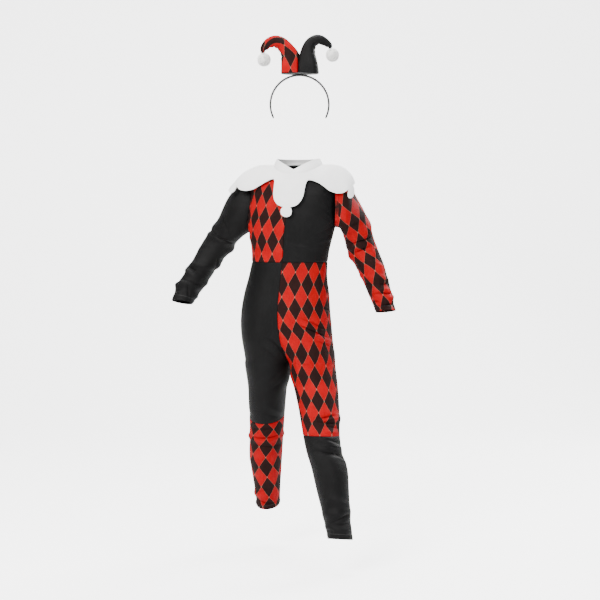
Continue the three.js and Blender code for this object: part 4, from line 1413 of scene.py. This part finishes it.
def make_collar():
    """Four petals on one ring of cloth, each with a round tab; a slit at the centre back.

    The petals are a fan from the neck seam to the scalloped edge. A tab is the part of a circle that
    stands past the edge: its points run from the chord on the edge to the circle.
    """
    form = collar_form()
    slit = SEAM / 2 / 92
    half_chord = math.sqrt(PETAL_TAB**2 - TAB_PAST_EDGE**2)
    rings = 26
    angle = np.linspace(slit - HALF, HALF - slit, 420)
    tabs = []
    for middle in tab_middles():
        reach = float(petal_reach(np.array([middle]))[0])
        speed = np.linalg.norm(form.plain(middle + 1e-3, reach) - form.plain(middle - 1e-3, reach)) / 2e-3
        at_slit = abs(middle - HALF) < 1e-6
        for low, high in ((-1, 0), (0, 1)) if at_slit else ((-1, 1),):
            share = np.linspace(low, high, 21 if at_slit else 41)
            turn = share * (HALF - math.atan2(half_chord, TAB_PAST_EDGE))
            step = np.linspace(0, 1, 12)[:, None]
            across = half_chord * share + (PETAL_TAB * np.sin(turn) - half_chord * share) * step
            around = middle + across / speed - (ROUND if at_slit and high > 0 else 0)
            around = np.clip(around, slit - HALF, HALF - slit)
            edge = petal_reach(around[0])
            circle = reach + TAB_PAST_EDGE + PETAL_TAB * np.cos(turn)
            along = edge + (circle - edge) * step
            off = np.hypot(across, along - reach - TAB_PAST_EDGE)
            tabs.append((around, along, PETAL_TAB - off))
            inside = (angle > around[0, 0] - 0.004) & (angle < around[0, -1] + 0.004)
            angle = np.concatenate([angle[~inside], around[0]])
    angle = np.unique(np.round(angle, 7))
    share = np.linspace(0, 1, rings)[:, None] ** 0.9
    place = SEAM + share * (petal_reach(angle) - SEAM)[None]
    slope = np.gradient(petal_reach(angle), angle) / 110
    gap = (petal_reach(angle) - place) / np.sqrt(1 + slope**2)
    grids = [(np.repeat(angle[None], rings, 0), place, gap), *tabs]
    mesh = bpy.data.meshes.new("cloth_collar")
    builder = bmesh.new()
    uv = builder.loops.layers.uv.new("cloth")
    from_edge = builder.verts.layers.float.new("seam")
    for angles, places, distance in grids:
        points = collar_points(form, angles, places) * MM
        rows, cols = places.shape
        verts = [[builder.verts.new(points[i, j]) for j in range(cols)] for i in range(rows)]
        for i in range(rows):
            for j in range(cols):
                verts[i][j][from_edge] = distance[i, j] * MM
        for i in range(rows - 1):
            for j in range(cols - 1):
                corners = [(i, j), (i + 1, j), (i + 1, j + 1), (i, j + 1)]
                face = builder.faces.new([verts[a][b] for a, b in corners])
                face.smooth = True
                for loop, (a, b) in zip(face.loops, corners):
                    loop[uv].uv = (angles[a, b] * 0.09, places[a, b] * MM)
    bmesh.ops.remove_doubles(builder, verts=builder.verts, dist=0.04 * MM)
    bmesh.ops.dissolve_degenerate(builder, edges=builder.edges, dist=0.02 * MM)
    builder.to_mesh(mesh)
    builder.free()
    mesh.materials.append(material_named("felt"))
    piece = add_object("cloth_collar", mesh)
    wall = piece.modifiers.new("cloth thickness", "SOLIDIFY")
    wall.thickness = FELT * MM
    wall.offset = -1
    wall.use_even_offset = False
    soft = piece.modifiers.new("soft edge", "BEVEL")
    soft.width = 0.8 * MM
    soft.segments = 3
    soft.limit_method = "ANGLE"
    soft.angle_limit = math.radians(55)
    apply_modifiers(piece)
    finish_piece(piece, "white_felt", "collar")
    declare_sheet(piece, "collar")


def make_neckband():
    """A standing band round the neck whose top dips to a V at the front.

    Its foot follows the neck seam. The top's height grows with the sine of the angle from the front.
    """
    form = collar_form()
    gap = SEAM / 2 / 58
    angle = np.linspace(gap - HALF, HALF - gap, 241)
    foot = form.plain(angle, np.zeros_like(angle))
    outward = foot * [1, 1, 0]
    outward = outward / np.linalg.norm(outward, axis=1, keepdims=True)
    rise = np.where(np.abs(angle) < QUARTER, np.abs(np.sin(angle)), 1.0)
    top = NECKBAND_NOTCH_UP + (NECKBAND_SIDE_UP - NECKBAND_NOTCH_UP) * rise
    share = np.linspace(0, 1, 15)[:, None]
    up = share[..., None]
    crown = 0.9 * np.sin(HALF * up) + 0.25 * np.sin(31 * angle)[None, :, None] * (1 - up)
    outer = foot[None] + outward[None] * (crown - up * NECKBAND_LEAN)
    outer[..., 2] += SEAM + share * (top - foot[:, 2] - SEAM)
    thick = FELT - 0.8 * np.exp(-(((1 - up) / 0.08) ** 2))
    inner = outer - outward[None] * thick
    seam = np.minimum(share, 1 - share) * (top - foot[:, 2])[None]
    printed = cloth_places(outer, 0)
    layers = {"seam": seam * MM}
    piece = wall_piece("cloth_neckband", outer, inner, material_named("felt"), False, False, printed, layers)
    finish_piece(piece, "white_felt", "neckband")
    declare_sheet(piece, "neckband")


# Headpiece


def end_fans(rows, columns):
    """Three-sided faces that close a tube's grid: its end rings to two hubs, listed after the grid."""
    count = rows * columns
    j = np.arange(columns)
    after = (j + 1) % columns
    start = np.stack([np.full(columns, count), j, after], -1)
    end = np.stack([np.full(columns, count + 1), count - columns + after, count - columns + j], -1)
    return start, end


def face_outwards(mesh):
    """Turns a closed mesh's faces outwards and shades them smooth."""
    builder = bmesh.new()
    builder.from_mesh(mesh)
    bmesh.ops.recalc_face_normals(builder, faces=builder.faces)
    builder.to_mesh(mesh)
    builder.free()
    mesh.polygons.foreach_set("use_smooth", np.ones(len(mesh.polygons), bool))


def put_closed(name, points, quads, fans, material):
    """A closed piece of four-sided faces and the fans at its ends."""
    mesh = bpy.data.meshes.new(name)
    faces = quads.tolist() + [face for fan in fans for face in fan.tolist()]
    mesh.from_pydata((points * MM).tolist(), [], faces)
    face_outwards(mesh)
    mesh.materials.append(material)
    return add_object(name, mesh)


def rounded_strip(name, path, across, normal, width, thick, material):
    """A strip along a path with a rounded-rectangle section: a superellipse of power 4."""
    turn = np.linspace(0, ROUND, 33)[:-1]
    side = signed_power(np.cos(turn), 0.5) * width / 2
    out = signed_power(np.sin(turn), 0.5) * thick / 2
    from_tip = np.minimum(np.arange(len(path)), np.arange(len(path))[::-1])
    taper = np.minimum(1, np.sqrt(np.clip(1 - (1 - from_tip / 4) ** 2, 0.02, 1)))
    taper = np.where(from_tip >= 4, 1, taper)[:, None, None]
    section = side[None, :, None] * across[:, None] + out[None, :, None] * normal[:, None]
    points = path[:, None] + taper * section
    rows, columns = points.shape[:2]
    faces, _ = grid_faces(rows, columns, 0, True, True)
    everything = np.concatenate([points.reshape(-1, 3), path[[0, -1]]])
    return put_closed(name, everything, faces, end_fans(rows, columns), material)


# The base's upper edge from its middle to its rim: share of the reach, share of half the thickness.
BASE_PROFILE = [[0.0, 1.0], [0.6, 1.0], [0.9, 0.98], [0.975, 0.7], [1.0, 0.0]]


def make_headband():
    """The sprung band, wound with ribbon, and the stiff oval base of the horns."""
    turn = np.linspace(QUARTER - BAND_REACH, QUARTER + BAND_REACH, 181)
    thick = BAND_THICKNESS + 1.8
    radius = BAND_RADIUS - thick / 2
    wind = 0.12 * np.sin(turn * 70)
    outward = np.stack([np.cos(turn), 0 * turn, np.sin(turn)], -1)
    path = outward * (radius + wind[:, None]) + [HEAD_ACROSS, HEAD_BACK, HEAD_UP]
    across = np.repeat([[0.0, 1.0, 0.0]], len(turn), 0)
    path, across, outward = (turned(line, GAZE_TURN) for line in (path, across, outward))
    band = material_named("band")
    piece = rounded_strip("band_headband", path, across, outward, BAND_WIDTH, thick, band)
    finish_piece(piece, "band_cloth", "headband")
    base = HAT_BASE
    round_ = np.linspace(0, ROUND, 97)[:-1]
    profile = np.array(BASE_PROFILE + [[reach, -up] for reach, up in BASE_PROFILE[-2::-1]])
    reach, up = profile[:, :1], profile[:, 1:]
    rings = np.stack(
        np.broadcast_arrays(
            base["across"] + base["wide"] * reach * np.cos(round_),
            HEAD_BACK + base["deep"] * reach * np.sin(round_),
            base["up"] + base["thickness"] / 2 * (1 + up) + 0 * round_,
        ),
        -1,
    )
    rings = turned(rings, GAZE_TURN)
    rows, columns = len(profile) - 2, len(round_)
    faces, _ = grid_faces(rows, columns, 0, False, True)
    everything = np.concatenate([rings[1:-1].reshape(-1, 3), rings[0, :1], rings[-1, :1]])
    piece = put_closed("band_horn_base", everything, faces, end_fans(rows, columns), band)
    finish_piece(piece, "band_cloth", "horn_base")


def horn_grid(rows, seed):
    """A stuffed horn: rounded sections square to its middle line, with soft wrinkles inside its bend.

    A wrinkle is a wave along the horn, strongest where the middle line bends and on the bend's inside. The
    side towards the other horn bulges until the two nearly touch.
    """
    rows = measured(rows, lambda r: r[:, :2])
    length = rows[-1, -1]
    places = np.linspace(0, length, 90)
    row = between(rows, places)
    after, before = np.minimum(places + 1, length), np.maximum(places - 1, 0)
    ahead = (between(rows, after) - between(rows, before))[:, :2]
    ahead /= np.linalg.norm(ahead, axis=1, keepdims=True)
    ahead[0] = [0, 1]
    heading = np.unwrap(np.arctan2(ahead[:, 1], ahead[:, 0]))
    bend = np.gradient(heading, places)
    turn = np.linspace(0, ROUND, 73)[:-1]
    sideways = np.stack([ahead[:, 1], -ahead[:, 0]], -1)
    power = (2 / row[:, 4])[:, None]
    wide = row[:, 2:3] * signed_power(np.cos(turn)[None], power)
    deep = row[:, 3:4] * signed_power(np.sin(turn)[None], power)
    inside = np.clip(-np.cos(turn)[None] * np.sign(bend)[:, None], 0, 1)
    strength = np.clip(np.abs(bend) * 26, 0, 1)[:, None]
    phase = places[:, None] / 3.1 + 0.8 * np.sin(turn * 2 + seed)[None]
    wrinkle = 1.1 * strength * inside**1.5 * np.sin(phase * 1.1)
    fade = np.clip(1 - places[:, None] / length, 0.2, 1)
    dents = 0.5 * np.sin(places[:, None] / 11 + seed) * np.sin(3 * turn[None] + seed) * fade
    scale = 1 + (wrinkle + dents) / row[:, 2:3]
    seam_line = np.exp(-((np.abs(np.sin(turn))[None] * row[:, 3:4] / 1.6) ** 2))
    scale = scale - 0.4 * seam_line / row[:, 2:3]
    x = row[:, :1] + sideways[:, :1] * wide * scale
    z = row[:, 1:2] + sideways[:, 1:] * wide * scale
    y = HEAD_BACK + deep * scale
    side = np.sign(HORNS_MEET - row[0, 0])
    room = (HORNS_MEET + 0.3 * (y - HEAD_BACK) - x) * side - 0.15
    inner = np.clip(np.cos(turn)[None] * side, 0, 1)
    bulge = np.minimum(room, 8 * inner**1.2 * np.exp(-((places[:, None] / 46) ** 4)))
    x = x + side * bulge * (inner > 0)
    points = np.stack(np.broadcast_arrays(x, y, z), -1)
    seam = np.abs(np.sin(turn))[None] * row[:, 3:4]
    return points, seam


def close_tube(name, points, seam, printed, material):
    """A grid of rings closed by a small fan at both ends."""
    rows, columns = points.shape[:2]
    faces, where = grid_faces(rows, columns, 0, True, True)
    hubs = np.stack([points[0].mean(0), points[-1].mean(0)])
    start, end = end_fans(rows, columns)
    mesh = bpy.data.meshes.new(name)
    everything = faces.tolist() + start.tolist() + end.tolist()
    mesh.from_pydata((np.concatenate([points.reshape(-1, 3), hubs]) * MM).tolist(), [], everything)
    flat = printed[:, :columns].reshape(-1, 2)
    uv = [printed[where[..., 0], where[..., 1]].reshape(-1, 2)]
    for fan, ring in ((start, 0), (end, rows - 1)):
        middle = printed[ring, :columns].mean(0)
        corner = np.stack([np.repeat(middle[None], columns, 0), flat[fan[:, 1]], flat[fan[:, 2]]], 1)
        uv.append(corner.reshape(-1, 2))
    layer = mesh.uv_layers.new(name="cloth")
    layer.data.foreach_set("uv", (np.concatenate(uv) * MM).astype(np.float32).ravel())
    keep_on_points(mesh, "seam", np.append(seam.ravel(), [9, 9]) * MM)
    keep_on_points(mesh, "hem", np.full(rows * columns + 2, 99 * MM))
    face_outwards(mesh)
    mesh.materials.append(material)
    return add_object(name, mesh)


def make_horns():
    """Two stuffed horns, one printed and one plain, curling out from the headband's base."""
    for name, rows, cloth, seed, phase in (
        ("horn_right", RIGHT_HORN, "printed", 0.4, (15.5, 11.2)),
        ("horn_left", LEFT_HORN, "plain", 2.1, (0, 0)),
    ):
        points, seam = horn_grid(rows, seed)
        printed = cloth_places(np.concatenate([points, points[:, :1]], 1), 0)
        front = printed[:, 54:55, :1] * [1, 0]
        printed = (printed - front - phase) * HORN_PRINT
        piece = close_tube(f"stuffed_{name}", turned(points, GAZE_TURN), seam, printed, material_named(cloth))
        finish_piece(piece, PRINT_SLOTS[cloth], name)


def pompom_middle(rows):
    """The pompom's middle, a little way past the horn's tip."""
    before, tip = (np.array([r[0], HEAD_BACK, r[1]], float) for r in rows[-2:])
    way = (tip - before) / np.linalg.norm(tip - before)
    return turned(tip + way * (POMPOM_RADIUS + POMPOM_GAP), GAZE_TURN)


def make_pompoms():
    """Balls of pile: a core, and thousands of thin three-sided hairs that bend a little as they leave it."""
    for name, rows, seed in (("pompom_right", RIGHT_HORN, 5), ("pompom_left", LEFT_HORN, 11)):
        random = np.random.default_rng(seed)
        middle = pompom_middle(rows)
        hairs, joints = 5200, 4
        k = np.arange(hairs) + 0.5
        up = 1 - 2 * k / hairs
        spin = HALF * (1 + math.sqrt(5)) * k
        flat = np.sqrt(1 - up**2)
        way = np.stack([flat * np.cos(spin), flat * np.sin(spin), up], -1)
        way += random.normal(0, 0.16, way.shape)
        way /= np.linalg.norm(way, axis=1, keepdims=True)
        bend = random.normal(0, 0.3, way.shape)
        clump = np.sin(way * 7 + seed).sum(1) / 3
        length = POMPOM_RADIUS * (0.99 + 0.04 * clump + random.uniform(-0.05, 0.05, hairs))
        along = np.linspace(0, 1, joints)
        start = POMPOM_RADIUS * PILE_FROM
        reach = start + (length - start)[:, None] * along[None]
        centre = way[:, None] * reach[..., None] + bend[:, None] * (along[None, :, None] ** 2)
        side = np.cross(way, [0.3, 0.5, 0.81])
        side /= np.linalg.norm(side, axis=1, keepdims=True)
        other = np.cross(way, side)
        thick = HAIR_THICKNESS * (1 - 0.7 * along**2)
        turns = np.arange(3) * ROUND / 3
        ring = np.cos(turns)[None, :, None] * side[:, None] + np.sin(turns)[None, :, None] * other[:, None]
        points = centre[:, :, None] + ring[:, None] * thick[None, :, None, None]
        points = points.reshape(-1, 3) + middle
        base = (np.arange(hairs) * joints * 3)[:, None, None]
        i, j = np.meshgrid(np.arange(joints - 1), np.arange(3), indexing="ij")
        corner = [i * 3 + j, i * 3 + (j + 1) % 3, (i + 1) * 3 + (j + 1) % 3, (i + 1) * 3 + j]
        quads = (base + np.stack(corner, -1).reshape(1, -1, 4)).reshape(-1, 4)
        tips = (base[:, :, 0] + (joints - 1) * 3 + np.arange(3)[None]).reshape(-1, 3)
        roots = (base[:, :, 0] + np.array([2, 1, 0])[None]).reshape(-1, 3)
        mesh = bpy.data.meshes.new(f"plush_{name}")
        mesh.from_pydata((points * MM).tolist(), [], quads.tolist() + tips.tolist() + roots.tolist())
        keep_on_points(mesh, "tip", np.tile(np.repeat(along, 3), hairs))
        keep_on_points(mesh, "lock", np.repeat(random.uniform(0, 1, hairs), joints * 3))
        mesh.polygons.foreach_set("use_smooth", np.ones(len(mesh.polygons), bool))
        core = bmesh.new()
        core.from_mesh(mesh)
        bmesh.ops.create_icosphere(core, subdivisions=4, radius=POMPOM_RADIUS * PILE_CORE * MM)
        core.verts.ensure_lookup_table()
        for vert in core.verts[hairs * joints * 3 :]:
            vert.co += Vector(middle * MM)
        core.to_mesh(mesh)
        core.free()
        mesh.materials.append(material_named("plush"))
        piece = add_object(f"plush_{name}", mesh)
        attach(piece, "root")
        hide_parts(name)


# Stage


def area_light(name, at, size, power, colour=(1, 1, 1)):
    """A soft light square to the middle of the suit."""
    light = bpy.data.lights.new(name, "AREA")
    light.energy = power
    light.size = size
    light.color = colour
    lamp = add_object(name, light)
    lamp.location = at
    toward = Vector((0, 0, -0.35)) - lamp.location
    lamp.rotation_euler = toward.to_track_quat("-Z", "Y").to_euler()


def make_stage():
    """The photo's camera, a pale floor that rises to a pale wall, and soft studio lights."""
    scene = bpy.context.scene
    settings = scene.costume_stage
    camera_data = bpy.data.cameras.new("camera")
    camera_data.sensor_width = 36
    camera_data.lens = 36 * CAMERA_FOCAL / PHOTO_SIDE
    camera = add_object("camera", camera_data)
    at = turned(np.array([CAMERA_ASIDE, -CAMERA_DISTANCE, CAMERA_UP], float), GAZE_TURN) * MM
    camera.location = at
    pitch = math.atan(PHOTO_HORIZON / CAMERA_FOCAL)
    camera.rotation_euler = Euler((QUARTER - pitch, 0, GAZE_TURN))
    scene.camera = camera
    world = bpy.data.worlds.new("studio")
    world.use_nodes = True
    background = world.node_tree.nodes["Background"]
    background.inputs[0].default_value = (1, 1, 1, 1)
    n = Nodes(world.node_tree)
    seen = n.add("ShaderNodeLightPath").outputs["Is Camera Ray"]
    n.feed(background.inputs[1], n.spread(seen, settings.sky, settings.sky + settings.backdrop))
    scene.world = world
    along = np.linspace(-FLOOR_HALF_WIDTH, FLOOR_HALF_WIDTH, 25)
    curve = np.linspace(0, QUARTER, 14)[1:]
    back = np.concatenate([np.linspace(FLOOR_FRONT, WALL_BACK, 20), WALL_BACK + WALL_CURVE * np.sin(curve)])
    up = np.concatenate([np.zeros(20), WALL_CURVE * (1 - np.cos(curve))])
    back, up = np.append(back, back[-1]), np.append(up, WALL_TOP)
    x, row = np.meshgrid(along, np.arange(len(back)))
    points = turned(np.stack([x, back[row], up[row] + FLOOR_UP], -1).astype(float), GAZE_TURN)
    faces, _ = grid_faces(len(back), len(along), 0, False, False)
    floor = put_mesh("studio_floor", points.reshape(-1, 3), faces, floor_material(settings.backdrop))
    for name, spot, size, power, colour in (
        ("key", (-1500, -2600, 1500), 1.6, settings.key, (1.0, 0.98, 0.96)),
        ("fill", (2100, -2300, 700), 2.2, settings.fill, (0.97, 0.98, 1.0)),
        ("top", (0, 300, 2300), 2.0, settings.key * 0.5, (1, 1, 1)),
        ("rim", (1800, 1500, 900), 1.2, settings.key * 0.35, (1, 1, 1)),
    ):
        area_light(name, turned(np.array(spot, float), GAZE_TURN) * MM, size, power, colour)


# Add-on


def size_setting(name, description, default, precision=2):
    """A length that the panel shows."""
    shown = {"unit": "LENGTH", "precision": precision}
    return FloatProperty(name=name, description=description, default=default, **shown)


def colour_setting(name, description, default):
    """A colour that the panel shows."""
    return FloatVectorProperty(name=name, description=description, default=default, subtype="COLOR")


class CostumeSuitSettings(bpy.types.PropertyGroup):
    """Sizes and colours of the suit's cloth."""

    lozenge_width: size_setting("Lozenge width", "Width of a lozenge of the print", 0.033)
    lozenge_height: size_setting("Lozenge height", "Height of a lozenge of the print", 0.061)
    lattice_width: size_setting("Lattice width", "Half width of the pale lines between lozenges", 0.00026, 5)
    red: colour_setting("Red", "The print's red", (0.325, 0.0, 0.003))
    print_black: colour_setting("Print black", "The print's warm black", (0.015, 0.0055, 0.005))
    pale: colour_setting("Pale", "The print's pale lines", (0.17, 0.1, 0.07))
    black: colour_setting("Black", "The plain knit", (0.0034, 0.0034, 0.0036))


class CostumeTrimSettings(bpy.types.PropertyGroup):
    """Colours of the collar and the pompoms."""

    felt: colour_setting("Collar", "The collar's white", (0.9, 0.9, 0.9))
    plush: colour_setting("Pompoms", "The pompoms' white", (0.97, 0.97, 0.96))


class CostumeStageSettings(bpy.types.PropertyGroup):
    """Strength of the studio's lights."""

    key: FloatProperty(name="Key light", description="Power of the main light", default=265.0, unit="POWER")
    fill: FloatProperty(name="Fill light", description="Power of the fill light", default=50.0, unit="POWER")
    sky: FloatProperty(name="Sky", description="Strength of the even light from all round", default=0.18)
    backdrop: FloatProperty(name="Backdrop", description="How much brighter the backdrop looks", default=3.0)


class COSTUME_OT_stage(bpy.types.Operator):
    """Make the camera, the floor and the lights"""

    bl_idname = "costume.stage"
    bl_label = "Stage"

    def execute(self, context):
        make_stage()
        return {"FINISHED"}


class COSTUME_OT_bodice(bpy.types.Operator):
    """Make the four bodice panels"""

    bl_idname = "costume.bodice"
    bl_label = "Bodice"

    def execute(self, context):
        make_bodice()
        return {"FINISHED"}


class COSTUME_OT_sleeves(bpy.types.Operator):
    """Make both sleeves"""

    bl_idname = "costume.sleeves"
    bl_label = "Sleeves"

    def execute(self, context):
        make_sleeves()
        return {"FINISHED"}


class COSTUME_OT_legs(bpy.types.Operator):
    """Make the leg panels from waist to knee"""

    bl_idname = "costume.legs"
    bl_label = "Legs"

    def execute(self, context):
        make_legs()
        return {"FINISHED"}


class COSTUME_OT_lower_legs(bpy.types.Operator):
    """Make the lower legs from knee to hem"""

    bl_idname = "costume.lower_legs"
    bl_label = "Lower legs"

    def execute(self, context):
        make_lower_legs()
        return {"FINISHED"}


class COSTUME_OT_placket(bpy.types.Operator):
    """Make the strip over the back opening"""

    bl_idname = "costume.placket"
    bl_label = "Back placket"

    def execute(self, context):
        make_placket()
        return {"FINISHED"}


class COSTUME_OT_collar(bpy.types.Operator):
    """Make the petal collar and its neckband"""

    bl_idname = "costume.collar"
    bl_label = "Collar"

    def execute(self, context):
        make_collar()
        make_neckband()
        return {"FINISHED"}


class COSTUME_OT_headband(bpy.types.Operator):
    """Make the headband and the base of the horns"""

    bl_idname = "costume.headband"
    bl_label = "Headband"

    def execute(self, context):
        make_headband()
        return {"FINISHED"}


class COSTUME_OT_horns(bpy.types.Operator):
    """Make the two stuffed horns"""

    bl_idname = "costume.horns"
    bl_label = "Horns"

    def execute(self, context):
        make_horns()
        return {"FINISHED"}


class COSTUME_OT_pompoms(bpy.types.Operator):
    """Make the two pompoms"""

    bl_idname = "costume.pompoms"
    bl_label = "Pompoms"

    def execute(self, context):
        make_pompoms()
        return {"FINISHED"}


STEPS = (
    COSTUME_OT_stage,
    COSTUME_OT_bodice,
    COSTUME_OT_sleeves,
    COSTUME_OT_legs,
    COSTUME_OT_lower_legs,
    COSTUME_OT_placket,
    COSTUME_OT_collar,
    COSTUME_OT_headband,
    COSTUME_OT_horns,
    COSTUME_OT_pompoms,
)


class COSTUME_PT_panel(bpy.types.Panel):
    """Lists the costume's settings and steps"""

    bl_idname = "COSTUME_PT_panel"
    bl_label = "Jester Costume"
    bl_space_type = "VIEW_3D"
    bl_region_type = "UI"
    bl_category = "Costume"

    def draw(self, context):
        for settings in (context.scene.costume_suit, context.scene.costume_trim, context.scene.costume_stage):
            for key in settings.bl_rna.properties.keys():
                if key not in ("rna_type", "name"):
                    self.layout.prop(settings, key)
        for step in STEPS:
            self.layout.operator(step.bl_idname)


CLASSES = (CostumeSuitSettings, CostumeTrimSettings, CostumeStageSettings, *STEPS, COSTUME_PT_panel)


def register():
    for cls in CLASSES:
        bpy.utils.register_class(cls)
    bpy.types.Scene.costume_suit = PointerProperty(type=CostumeSuitSettings)
    bpy.types.Scene.costume_trim = PointerProperty(type=CostumeTrimSettings)
    bpy.types.Scene.costume_stage = PointerProperty(type=CostumeStageSettings)


def unregister():
    del bpy.types.Scene.costume_stage
    del bpy.types.Scene.costume_trim
    del bpy.types.Scene.costume_suit
    for cls in reversed(CLASSES):
        bpy.utils.unregister_class(cls)


def main():
    register()
    for step in STEPS:
        group, name = step.bl_idname.split(".")
        getattr(getattr(bpy.ops, group), name)()


if __name__ == "__main__":
    main()
